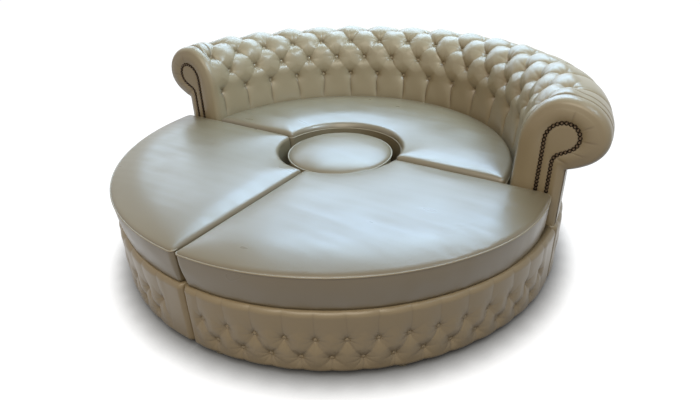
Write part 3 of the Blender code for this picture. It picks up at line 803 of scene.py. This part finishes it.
def nail_trim(side, name):
    """Make the close row of domed nail heads round the keyhole."""
    trim = keyhole()
    length = lengths(trim)[-1]
    count = round(length / nail_pitch)
    spots = resampled(trim, (np.arange(count) + 0.5) * length / count)
    share = np.linspace(0, 1, nail_rings)
    radius = nail_radius * np.concatenate(([1.0], np.cos(share * pi / 2)))
    rise = nail_radius * np.concatenate(([-nail_depth_share], nail_height_share * np.sin(share * pi / 2)))
    crown = np.repeat(np.concatenate(([0.0], eased(share, *nail_worn_and_highlit_crown_shares))), dome_spokes)
    places = [np.array([side * x, arm_front - nail_sink, z]) for x, z in spots]
    points, faces = domes(places, [[(1, 0, 0), (0, 0, 1), (0, -1, 0)]] * count, radius, rise)
    new_piece(name + "_arm_nail_trim", points, "rear_unit", "nail_brass", faces, crown=np.tile(crown, count))


# Buttoned base: two staggered rows
base_pitch = radians(6)
base_first_button = radians(3.75)
base_end_margin = radians(6.5)
base_lower_buttons = 0.080
base_button_rise = 0.080
base_form = {
    "wander": 0.016, "row_shares": (0.45, 0.50), "row_swells": (0.9, 0.8),
    "pleat_share": 0.42, "gather_length": 0.022, "swell": 0.0068, "pleat_swell": 0.0022,
    "dimple": (0.034, 1.7), "crease": (0.0013, 0.0034, 1.25), "valley": (0.0044, 0.018, 1.6),
    "pull": (0.0046, 0.024), "funnel": (0.0098, 0.024, 1.25), "pit": (0.003, 0.0095, 3),
}
base_mesh_rows = 84
base_columns_per_degree = 6
base_inset = 0.003
base_button_sink = 0.002
base_edge_shade = 0.6

# Where the tufting starts past the first button and ends past the last, in buttons
field_start = (-0.95, -0.62)
field_end = (-0.35, 0.0)
first_button_limit = -0.6
last_button_limit = -0.3

# Rounded edges of the covers: depth, reach and power
base_top_roll = (0.013, 0.022, 2.4)
base_low_roll = (0.010, 0.020, 2.2)
base_corner_roll = (0.016, 0.020, 2.2)
outer_panel_roll = (0.006, 0.014, 2)


def buttoned_base(prefix, start, end, body):
    """Make the buttoned cover round the outside of a base, with its buttons."""
    columns = round(degrees(end - start) * base_columns_per_degree)
    trim = asin(half_gap / base_radius)
    height, turn = np.broadcast_arrays(np.linspace(cover_bottom, base_top, base_mesh_rows)[:, None],
                                       np.linspace(start + trim, end - trim, columns)[None, :])
    across = (turn - start - base_first_button) / base_pitch - 0.5
    last_button = int((end - start - base_end_margin) / base_pitch)
    up = (height - base_lower_buttons) / base_button_rise
    push, fold = tufting(across, up, 1, base_radius * base_pitch, base_button_rise, base_form)
    field = eased(across, *field_start) * (1 - eased(across - last_button, *field_end))
    to_end = np.minimum(turn - start, end - turn) * base_radius - half_gap
    rolled = (near_edge(base_top - height, *base_top_roll) + near_edge(height - cover_bottom, *base_low_roll)
              + near_edge(to_end, *base_corner_roll))
    points = polar(base_radius - base_inset + push * field - rolled, turn, height)
    points = points + ripple(points, *base_ripple)[..., None] * polar(1.0, turn, 0.0)
    under, ledge = (polar(carcass_radius, turn[:1], level) for level in (cover_bottom, base_top))
    edge_shade = np.full((1, columns), base_edge_shade)
    shades = np.concatenate([edge_shade, fold * field, edge_shade])
    cover = new_piece(prefix + "_buttoned_base", np.concatenate([under, points, ledge]), body, "back_leather",
                      capped_faces(*shades.shape), fold=shades)
    spots = []
    sunk = base_radius - base_inset - sunk_depth(base_form) - base_button_sink
    for row in (0, 1):
        for at in np.arange(-1, last_button) + row / 2:
            if first_button_limit < at < last_button + last_button_limit:
                angle = start + base_first_button + (at + 0.5) * base_pitch
                spots.append((sunk, angle, base_lower_buttons + row * base_button_rise, 1, 0))
    buttons(prefix + "_base_buttons", spots, base_button_radius, body)


# Side covers: the rounding of the lower and the upper edge, then the section and the plan
side_rounds = (0.006, 0.007)
side_depth = 0.0098
side_plain_margin = 0.02
side_plain_rows = 12
side_round_rows = 7
side_columns = 40
well_column_step = 3


def side_section():
    """Section of a side cover as distances out from its face and heights."""
    turn = np.linspace(0, pi / 2, side_round_rows)
    low, high = side_rounds
    section = [(low * (sin(t) - 1), cover_bottom + low * (1 - cos(t))) for t in turn]
    plain = np.linspace(cover_bottom + side_plain_margin, base_top - side_plain_margin, side_plain_rows)
    section += [(0.0, h) for h in plain]
    section += [(high * (cos(t) - 1), base_top - high * (1 - sin(t))) for t in turn]
    return section + [(-side_depth, base_top), (-side_depth, cover_bottom)]


def side_cover(prefix, start, end, body):
    """Make the plain cover that wraps both straight sides and the well of a base."""
    well_turn = np.linspace(end, start, round(degrees(end - start) / well_column_step))
    trim = asin(half_gap / well_radius)
    wall = [(well_radius, t) for t in np.clip(well_turn, start + trim, end - trim)]
    inward = np.linspace(carcass_radius, well_radius, side_columns)
    far = [(r, end - asin(half_gap / r)) for r in inward[:-1]]
    near = [(r, start + asin(half_gap / r)) for r in inward[-2::-1]]
    plan = np.array([(r * cos(t), r * sin(t)) for r, t in far + wall + near])
    outward = -left_normals(plan)
    halfway = (start + end) / 2
    middle = np.array([cos(halfway), sin(halfway)]) * (well_radius + carcass_radius) / 2
    outward *= np.sign(((plan - middle) * outward).sum())
    loop = np.stack([raised(plan + outward * off, height) for off, height in side_section()])
    new_piece(prefix + "_side_cover", loop, body, "back_leather", capped_faces(*loop.shape[:2]))


# Seat cushions
seat_grid_step = 0.0125
edge_spacing = (0.0, 0.002, 0.005, 0.009, 0.014, 0.021)
seam_half_height = 0.006
seat_crown = 0.026
crown_reach = 0.170
crown_power = 2.4
seat_swell = 0.012
held_margin = 0.016
corner_power = 2.2
seat_corner_radius = 0.020
seat_shoulder = 0.007
seat_edge_drop = 0.011
split_edge_drop = 0.0045
seat_edge_roll = 0.007
seat_dip_length = 0.06
split_inset = 0.0035
ripple_calm = (0.01, 0.1)
least_gap = 1e-5

# How much sooner the crown rises from the well, the rim, the start and the end
crown_steepness = (1.8, 1.0, 2.6, 2.6)

# Boxing
soft_side_bulge = 0.0030
soft_bulge_place = 0.55
soft_bulge_power = 0.8
boxing_bulge = 0.003
boxing_bulge_place = 0.8
boxing_draw_in = 0.016
boxing_draw_power = 1.4
boxing_top_shares = (0.03, 0.07)
boxing_shares = (0.14, 1)
boxing_rows = 13
deck_clearance = 0.001
seam_shade = 0.4
seam_shade_reach = 0.004
seam_shade_rows = 0.7

# Piping
piping_radius = 0.0032
piping_room = 0.0083
piping_spokes = 10
piping_out = piping_radius * 0.3
welt_sink = 0.008
tucked_welt_drop = 0.010

# The front corner of the right ottoman draws in, and its leather is pulled towards the rim at places in Y
corner_draw_angle = radians(27)
right_corner_draw = 0.046
rim_pulls = ((-0.608, 0.0040), (-0.565, 0.0028), (-0.500, 0.0042))
rim_pull_slant = 0.10
rim_pull_width = 0.011
rim_pull_start = (0.004, 0.018)
rim_pull_length = 0.075

# Cloth simulation that swells the cushions
cushion_pressure = 4
swell_frames = 16
cloth_stiffness = 12
cloth_bending = 1.5
cloth_quality = 3
tiny_move = 1e-9


def inflated(piece, held, most):
    """Swell a piece as cloth with air inside, its held points fixed, by not much more than most."""
    group = piece.vertex_groups.new(name="held")
    group.add([int(i) for i in held], 1.0, "REPLACE")
    cloth = piece.modifiers.new("swell", "CLOTH")
    settings = cloth.settings
    settings.vertex_group_mass = "held"
    settings.use_pressure = True
    settings.uniform_pressure_force = cushion_pressure
    settings.effector_weights.gravity = 0
    settings.tension_stiffness = settings.compression_stiffness = cloth_stiffness
    settings.bending_stiffness = cloth_bending
    settings.quality = cloth_quality
    cloth.collision_settings.use_collision = False
    for moment in range(1, swell_frames + 1):
        bpy.context.scene.frame_set(moment)
    swollen = piece.evaluated_get(bpy.context.evaluated_depsgraph_get()).data
    start, end = np.zeros((2, len(piece.data.vertices) * 3))
    piece.data.vertices.foreach_get("co", start)
    swollen.vertices.foreach_get("co", end)
    move = (end - start).reshape(-1, 3)
    far = np.linalg.norm(move, axis=1, keepdims=True)
    move *= most * np.tanh(far / most) / np.maximum(far, tiny_move)
    piece.modifiers.remove(cloth)
    piece.vertex_groups.remove(group)
    piece.data.vertices.foreach_set("co", start + move.ravel())
    piece.data.update()
    bpy.context.scene.frame_set(1)


def corner_draw(turn, end, draw):
    """How far the outer rim of a seat draws in towards its corner at the far end."""
    return near_edge(end - turn, draw, corner_draw_angle, 2)


def edge_lines(length):
    """Shares along a length from 0 to 1, close together near both ends."""
    first, last = edge_spacing[-1] / length, 1 - edge_spacing[-1] / length
    near = np.array(edge_spacing[:-1]) / length
    inside = np.linspace(first, last, round((last - first) * length / seat_grid_step) + 1)
    return np.concatenate([near, inside, 1 - near[::-1]])


def rounded_corner(first, second):
    """Gaps of a point to two sides once their corner is rounded off."""
    p, q = (1 - np.clip(gap / seat_corner_radius, 0, 1) for gap in (first, second))
    return (first + seat_corner_radius * p * (1 - np.sqrt(1 - q ** 2 / 2)),
            second + seat_corner_radius * q * (1 - np.sqrt(1 - p ** 2 / 2)))


def joined_gap(gaps):
    """One distance from several sides' gaps that rounds the corners between them."""
    return np.sum(np.maximum(gaps, least_gap) ** -corner_power, axis=0) ** (-1 / corner_power)


def seat_plan(inner, outer, start, end, draw):
    """Radii and angles of a seat's grid, with the gaps to the well, the rim, the start and the end."""
    inset = half_gap + split_inset
    shares = edge_lines(outer - inner)[:, None]
    radius = inner + (outer - inner) * shares
    trim = np.arcsin(inset / radius)
    turn = start + trim + (end - start - 2 * trim) * edge_lines((end - start) * (outer + inner) / 2)[None, :]
    rim_radius = outer - corner_draw(turn, end, draw)
    radius = inner + (rim_radius - inner) * shares
    to_start, to_end = (
        radius * np.sin(np.minimum(angle, pi / 2)) - inset for angle in (turn - start, end - turn))
    to_well, to_rim = radius - inner, rim_radius - radius
    for near, away in ((to_well, 1), (to_rim, -1)):
        for side, way in ((to_start, 1), (to_end, -1)):
            moved_side, moved_near = rounded_corner(side, near)
            turn = turn + way * (moved_side - side) / radius
            radius = radius + away * (moved_near - near)
    return radius, turn, np.stack([to_well, to_rim, to_start, to_end])


def seat_top(inner, outer, start, end, seam_height, draw, tucked):
    """Grid of points of a crowned seat, with each point's gap to the rim and its edge's softness.

    A soft edge rolls down below the level of the outer seam. tucked makes the outer edge soft too.
    """
    radius, turn, gaps = seat_plan(inner, outer, start, end, draw)
    to_rim = gaps[1]
    edge = joined_gap(gaps)
    soft = np.ones(edge.shape) if tucked else eased(to_rim, 0.0, seat_dip_length)
    reached = joined_gap(gaps * np.array(crown_steepness)[:, None, None])
    crown = 1 - (1 - np.minimum(reached / crown_reach, 1)) ** crown_power
    shoulder = 1 - fading(edge, seat_shoulder)
    height = seam_height + seam_half_height * shoulder + (seat_crown - seat_swell) * crown
    drop = seat_edge_drop if tucked else split_edge_drop
    top = polar(radius, turn, height - drop * soft * fading(edge, seat_edge_roll))
    top[..., 2] += ripple(top, *seat_ripple) * eased(edge, *ripple_calm)
    for place, depth in rim_pulls if draw else ():
        line = fading(top[..., 1] - place - rim_pull_slant * to_rim, rim_pull_width, 2)
        top[..., 2] -= depth * line * eased(to_rim, *rim_pull_start) * fading(to_rim, rim_pull_length)
    return top, edge, soft


def inward_directions(plan):
    """Unit directions into a closed plan at each of its points."""
    along = np.roll(plan, -1, axis=0) - np.roll(plan, 1, axis=0)
    inward = np.stack([-along[:, 1], along[:, 0]], axis=-1)
    inward /= np.linalg.norm(inward, axis=1, keepdims=True)
    area = np.sum(plan[:, 0] * np.roll(plan[:, 1], -1) - np.roll(plan[:, 0], -1) * plan[:, 1])
    return inward * np.sign(area)


def boxing(rim, soft, kept, inward):
    """Rows of points of a seat's side from its rim down to the deck.

    kept is the share of the usual draw-in towards the deck at each place.
    """
    levels = []
    for share in np.concatenate([boxing_top_shares, np.linspace(*boxing_shares, boxing_rows)]):
        height = rim[:, 2] + (base_top + deck_clearance - rim[:, 2]) * share
        pull = boxing_draw_in * share ** boxing_draw_power * kept * (1 - soft)
        bulge = soft_side_bulge * soft * np.sin(pi * share ** soft_bulge_place) ** soft_bulge_power
        bulge = bulge + boxing_bulge * (1 - soft) * sin(pi * share ** boxing_bulge_place)
        levels.append(raised(rim[:, :2] + inward * (pull - bulge)[:, None], height))
    return np.stack(levels)


def cushion(name, top, sides, fold, held, most, body):
    """Make a cushion of a grid of points on top and closed runs below its rim, and swell it.

    The shade values give each point's share of painted shade at the seams and underneath, and held tells
    which points of the top stay where they are.
    """
    number = np.arange(held.size).reshape(held.shape)
    faces = grid_faces(*held.shape).tolist()
    points = np.concatenate([top.reshape(-1, 3), sides.reshape(-1, 3)])
    below = np.arange(held.size, len(points))
    upper = around_rim(number)
    for lower in below.reshape(len(sides), -1):
        faces += np.stack([upper, np.roll(upper, -1), np.roll(lower, -1), lower], axis=-1).tolist()
        upper = lower
    faces.append(upper.tolist())
    piece = new_piece(name, points, body, "seat_leather", faces, fold=seam_shade * fold)
    inflated(piece, np.concatenate([number[held], below]), most)


def seat_cushion(prefix, inner, outer, start, end, seam_height, body, draw, tucked):
    """Make a crowned, boxed seat cushion with its piping."""
    top, edge, soft = seat_top(inner, outer, start, end, seam_height, draw, tucked)
    rim, rim_soft = around_rim(top), around_rim(soft)
    inward = inward_directions(rim[:, :2])
    bearing = np.arctan2(rim[:, 1], rim[:, 0]) % (2 * pi)
    kept = 1 - (corner_draw(bearing, end, 1.0) if draw else 0)
    sides = boxing(rim, rim_soft, kept, inward)
    sides[..., :2] += ripple(sides, *boxing_ripple)[..., None] * inward[None]
    side_shade = np.repeat(fading(np.arange(len(sides)), seam_shade_rows), len(rim))
    shades = np.concatenate([fading(edge.ravel(), seam_shade_reach), side_shade])
    cushion(prefix + "_seat_cushion", top, sides, shades, edge < held_margin, seat_swell, body)
    sunk, drop = (0, tucked_welt_drop) if tucked else (welt_sink, piping_radius / 2)
    offset = inward * (sunk * rim_soft - piping_out)[:, None]
    piping(prefix + "_seat_piping", rim + raised(offset, -drop), body)


def piping(name, path, body):
    """Make a closed run of round piping along a path."""
    side = inward_directions(path[:, :2])
    rows = [path + piping_radius * raised(side * cos(turn), sin(turn)) for turn in full_turn(piping_spokes)]
    new_piece(name, np.stack(rows), body, "piping_leather", wrap_rows=True, wrap_columns=True)


# Turned pieces: the pouf and the feet
pouf_spokes = 120
pouf_side_rows = 10
pouf_side_margin = 0.02
pouf_side_inset = 0.0015
pouf_low_round = (0.004, 0.006)
pouf_top_round = (0.0045, 0.0065, 0.0085)
pouf_welt_out = 0.003
pouf_welt_points = 180
pouf_crown = 0.045
pouf_swell = 0.006
pouf_dome_powers = (2.3, 0.62)
pouf_grid_points = 57
pouf_calm = (0.05, 0.4)
pouf_held_share = 0.94
pouf_skirt_share = 0.99
pouf_skirt_depth = 0.006
# Where the painted shade near the pouf's seam starts and is full
pouf_seam_shade_shares = (0.985, 1.0)
foot_spokes = 40
foot_round_rows = 6
foot_top_round = 0.0015
foot_top_share = 0.96
foot_middle_share = 0.5
foot_toe_share = 0.80
foot_toe_height_share = 0.42


def turned(name, profile, spokes, body, slot, centre=(0, 0), replaced=True):
    """Make a round piece from a profile of radius and height."""
    profile = np.array(profile)
    points = polar(profile[:, 0][:, None], full_turn(spokes)[None, :], profile[:, 1][:, None])
    points[..., :2] += centre
    new_piece(name, points, body, slot, wrap_columns=True, replaced=replaced)


def pouf():
    """Make the pouf's cover, cushion and piping."""
    bottom, seam = cover_bottom, pouf_seam_height
    low_inset, low_rise = pouf_low_round
    top_inset, top_drop, shoulder_drop = pouf_top_round
    outside = [(pouf_radius - low_inset, bottom), (pouf_radius, bottom + low_rise)]
    levels = np.linspace(bottom + pouf_side_margin, seam - pouf_side_margin, pouf_side_rows)
    outside += [(pouf_radius - pouf_side_inset, h) for h in levels]
    outside += [(pouf_radius, seam - shoulder_drop), (pouf_radius - top_inset, seam - top_drop)]
    turned("pouf_side_cover", outside, pouf_spokes, "pouf", "back_leather")
    pouf_top(seam)
    piping("pouf_seat_piping", polar(pouf_radius + pouf_welt_out, full_turn(pouf_welt_points), seam), "pouf")


def pouf_top(seam):
    """Make the pouf's domed top on a square grid that is drawn out to a disc."""
    line = np.sin(np.linspace(-pi / 2, pi / 2, pouf_grid_points))
    u, v = np.meshgrid(line, line)
    x, y = u * np.sqrt(1 - v ** 2 / 2), v * np.sqrt(1 - u ** 2 / 2)
    out = np.hypot(x, y)
    across_power, rise_power = pouf_dome_powers
    dome = np.clip(1 - out ** across_power, 0, 1) ** rise_power
    height = seam + (pouf_crown + seam_half_height - pouf_swell) * dome
    top = np.stack([x * pouf_radius, y * pouf_radius, height], axis=-1)
    top[..., 2] += ripple(top, *pouf_ripple) * eased(1 - out, *pouf_calm)
    under = around_rim(top) * (pouf_skirt_share, pouf_skirt_share, 1) - (0, 0, pouf_skirt_depth)
    # Painted shade near the seam of the top and all over the skirt underneath
    shades = np.concatenate([eased(out.ravel(), *pouf_seam_shade_shares), np.ones(len(under))])
    cushion("pouf_seat_cushion", top, under[None], shades, out > pouf_held_share, pouf_swell, "pouf")


def unit_of(name):
    """Name of the body that a piece's name belongs to."""
    for unit in ("left_ottoman", "right_ottoman", "pouf"):
        if name.startswith(unit):
            return unit
    return "rear_unit"


def feet():
    """Make each low turned foot in the place of its solid."""
    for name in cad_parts:
        if "_foot_" not in name:
            continue
        low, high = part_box(name)
        middle = (low + high) / 2 - seat_centre
        radius = (high.x - low.x) / 2
        t = np.linspace(0, pi / 2, foot_round_rows)
        profile = [(0.0, foot_height), (radius * foot_top_share, foot_height)]
        profile += [(radius, foot_height - foot_top_round), (radius, foot_height * foot_middle_share)]
        profile += list(zip(radius * (foot_toe_share + (1 - foot_toe_share) * np.cos(t)),
                            foot_height * foot_toe_height_share * (1 - np.sin(t))))
        turned(name.replace("_foot_", "_round_foot_"), profile + [(0.0, 0.0)], foot_spokes, unit_of(name),
               "foot_lacquer", (middle.x, middle.y), name)


# Outside of the back, with its seams as shares of the half turn
outer_panel_rows = 24
outer_panel_columns = 361
outer_panel_thickness = 0.0107
outer_panel_end_share = 0.6
outer_seam_marks = (0.25, 0.5, 0.75)
outer_seam_reach = 0.004
outer_seam_depth = 0.0018
outer_seam_shade = 0.6


def outer_back_panel():
    """Make the plain outside of the back below the roll."""
    trim = asin(arm_seam / back_outer_radius) * outer_panel_end_share
    height, turn = np.broadcast_arrays(np.linspace(back_foot, outer_panel_top, outer_panel_rows)[:, None],
                                       np.linspace(trim, pi - trim, outer_panel_columns)[None, :])
    seams = np.zeros(turn.shape)
    for mark in outer_seam_marks:
        seams += fading((turn - mark * pi) * back_outer_radius, outer_seam_reach, 2)
    drawn_in = outer_seam_depth * seams + near_edge(height - back_foot, *outer_panel_roll)
    points = polar(back_outer_radius - drawn_in, turn, height)
    points = points + ripple(points, *panel_ripple)[..., None] * polar(1.0, turn, 0.0)
    low, top = (polar(back_outer_radius - outer_panel_thickness, turn[:1], level)
                for level in (back_foot, outer_panel_top))
    plain = np.zeros((1, outer_panel_columns))
    shades = np.concatenate([plain, outer_seam_shade * seams, plain])
    new_piece("outer_back_panel", np.concatenate([low, points, top]), "rear_unit", "back_leather",
              wrap_rows=True, fold=shades)


# Finishes of the pieces inside
inner_finishes = {"_dust_cloth": dust_cloth, "_frame": frame_timber, "_seat_deck": plywood,
                  "pouf_drum": plywood, "pouf_top_board": plywood}


def inner_pieces():
    """Give the frames, decks, drum and dust cloths that stay their finish."""
    for name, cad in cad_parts.items():
        for ending, material in inner_finishes.items():
            if name.endswith(ending):
                for slot in cad.material_slots:
                    slot.material = material


# The units
back_cover()
outer_back_panel()
for side, name in ((1, "right"), (-1, "left")):
    arm_facing(side, name)
    arm_panel(side, name)
    nail_trim(side, name)
units = (
    ("rear", 0, pi, "rear_unit", back_inner_radius - back_gap, rear_seam_height, 0),
    ("left_ottoman", pi, 1.5 * pi, "left_ottoman", seat_radius, ottoman_seam_height, 0),
    ("right_ottoman", 1.5 * pi, 2 * pi, "right_ottoman", seat_radius, ottoman_seam_height,
     right_corner_draw),
)
for prefix, start, end, body, outer, seam, draw in units:
    buttoned_base(prefix, start, end, body)
    side_cover(prefix, start, end, body)
    seat_cushion(prefix, well_radius + piping_room, outer - piping_room, start, end, seam, body, draw,
                 tucked=prefix == "rear")
pouf()
feet()
inner_pieces()

# Floor and world: a white that is seen, and the dimmer tone that lights the sofa
floor_half = 40
floor_bounce = (0.10, 0.085, 0.06)
floor_tone = (0.10, 0.10, 0.10)
# Painted contact shadow: the floor's glow is dimmed by ambient occlusion within this reach
shadow_reach = 0.12
shadow_power = 2.6
shadow_samples = 16
fill_strength = 0.20
fill_colour = (1.0, 0.82, 0.55)
white = (1, 1, 1)


def seen_or_not(tree, hidden, seen, output):
    """Give rays that show a surface, direct, mirrored or through glass, one shader and the rest another."""
    path = node(tree, "ShaderNodeLightPath")
    shows = path.outputs["Is Camera Ray"]
    for kind in ("Is Glossy Ray", "Is Transmission Ray"):
        shows = maths(tree, "MAXIMUM", shows, path.outputs[kind])
    mix = node(tree, "ShaderNodeMixShader", shows, hidden.outputs[0], seen.outputs[0])
    node(tree, output, mix.outputs[0])


def floor():
    """Lay a pale floor that shows white to the eye, with a contact shadow painted into its glow by ambient
    occlusion and the sofa's shadow kept in its diffuse part.
    """
    mesh = bpy.data.meshes.new("floor")
    corners = [(x * floor_half, y * floor_half, 0) for x, y in ((-1, -1), (1, -1), (1, 1), (-1, 1))]
    mesh.from_pydata(corners, [], [(0, 1, 2, 3)])
    material = bpy.data.materials.new("floor")
    material.use_nodes = True
    tree = material.node_tree
    tree.nodes.clear()
    # Painted contact shadow near the sofa, from ambient occlusion
    openness = node(tree, "ShaderNodeAmbientOcclusion", Distance=shadow_reach, samples=shadow_samples)
    light = ranged(tree, maths(tree, "POWER", openness.outputs["AO"], shadow_power), 0, 1, 0, 1)
    shown = node(tree, "ShaderNodeBsdfDiffuse", floor_tone)
    glow = node(tree, "ShaderNodeEmission", Strength=light)
    both = node(tree, "ShaderNodeAddShader", shown.outputs[0], glow.outputs[0])
    seen_or_not(tree, node(tree, "ShaderNodeBsdfDiffuse", floor_bounce), both, "ShaderNodeOutputMaterial")
    mesh.materials.append(material)
    placed("floor", mesh)


def world_light():
    """Surround the scene with a warm, even fill, white where it is seen."""
    world = bpy.data.worlds.new("studio")
    bpy.context.scene.world = world
    world.use_nodes = True
    tree = world.node_tree
    tree.nodes.clear()
    fill = node(tree, "ShaderNodeBackground", fill_colour, Strength=fill_strength)
    seen_or_not(tree, fill, node(tree, "ShaderNodeBackground", white, Strength=1.0), "ShaderNodeOutputWorld")


def softbox(name, place, target, size, power, colour, spread=pi):
    """Add a rectangular soft light at a place, facing a target."""
    light = bpy.data.lights.new(name, "AREA")
    light.shape = "RECTANGLE"
    light.size, light.size_y = size
    light.energy = power
    light.color = colour
    light.spread = spread
    lamp = placed(name, light)
    lamp.location = place
    lamp.rotation_euler = (Vector(target) - Vector(place)).to_track_quat("-Z", "Y").to_euler()


# Camera of the photograph: where it stands round the seat, and its lens
camera_azimuth = radians(32.71)
camera_elevation = radians(28.53)
camera_distance = 2.7021
camera_right_shift = 0.0418
camera_up_shift = 0.1199
camera_roll = radians(-1.66)
camera_lens = 26.27
camera_sensor_width = 36


def camera():
    """Stand the camera where the photograph was taken."""
    level = cos(camera_elevation)
    ahead = Vector((-sin(camera_azimuth) * level, cos(camera_azimuth) * level, -sin(camera_elevation)))
    right = Vector((cos(camera_azimuth), sin(camera_azimuth), 0))
    up = right.cross(ahead)
    place = seat_centre - ahead * camera_distance + right * camera_right_shift + up * camera_up_shift
    rolled_right = right * cos(camera_roll) + up * sin(camera_roll)
    rolled_up = up * cos(camera_roll) - right * sin(camera_roll)
    data = bpy.data.cameras.new("camera")
    data.lens = camera_lens
    data.sensor_width = camera_sensor_width
    made = placed("camera", data)
    axes = Matrix((rolled_right, rolled_up, -ahead)).transposed()
    made.matrix_world = Matrix.Translation(place) @ axes.to_4x4()
    bpy.context.scene.camera = made


floor()
world_light()
softbox("window", (-2.8, 3.7, 2.9), (0, 0, 0.4), (6.2, 2.4), 140, (0.56, 0.77, 1.0))
softbox("skylight", (-0.9, 3.1, 3.6), (0, 0.3, 0.4), (4.0, 1.8), 110, (0.40, 0.66, 1.0))
softbox("ceiling", (-0.4, 1.8, 3.4), (0, 0.9, 0.5), (3.4, 1.6), 118, (0.58, 0.81, 1.0))
softbox("front_window", (1.3, -3.1, 3.4), (0, 0.2, 0.4), (3.0, 2.0), 94, (1.0, 0.91, 0.75))
softbox("left_window", (-3.6, -0.8, 2.8), (0, 0, 0.4), (2.4, 2.0), 5, (1.0, 0.86, 0.55))
softbox("right_window", (2.4, -0.2, 3.1), (-0.7, 0.6, 0.7), (1.2, 1.2), 14, (0.62, 0.84, 1.0), radians(60))
camera()
bpy.context.scene.view_settings.view_transform = "Standard"
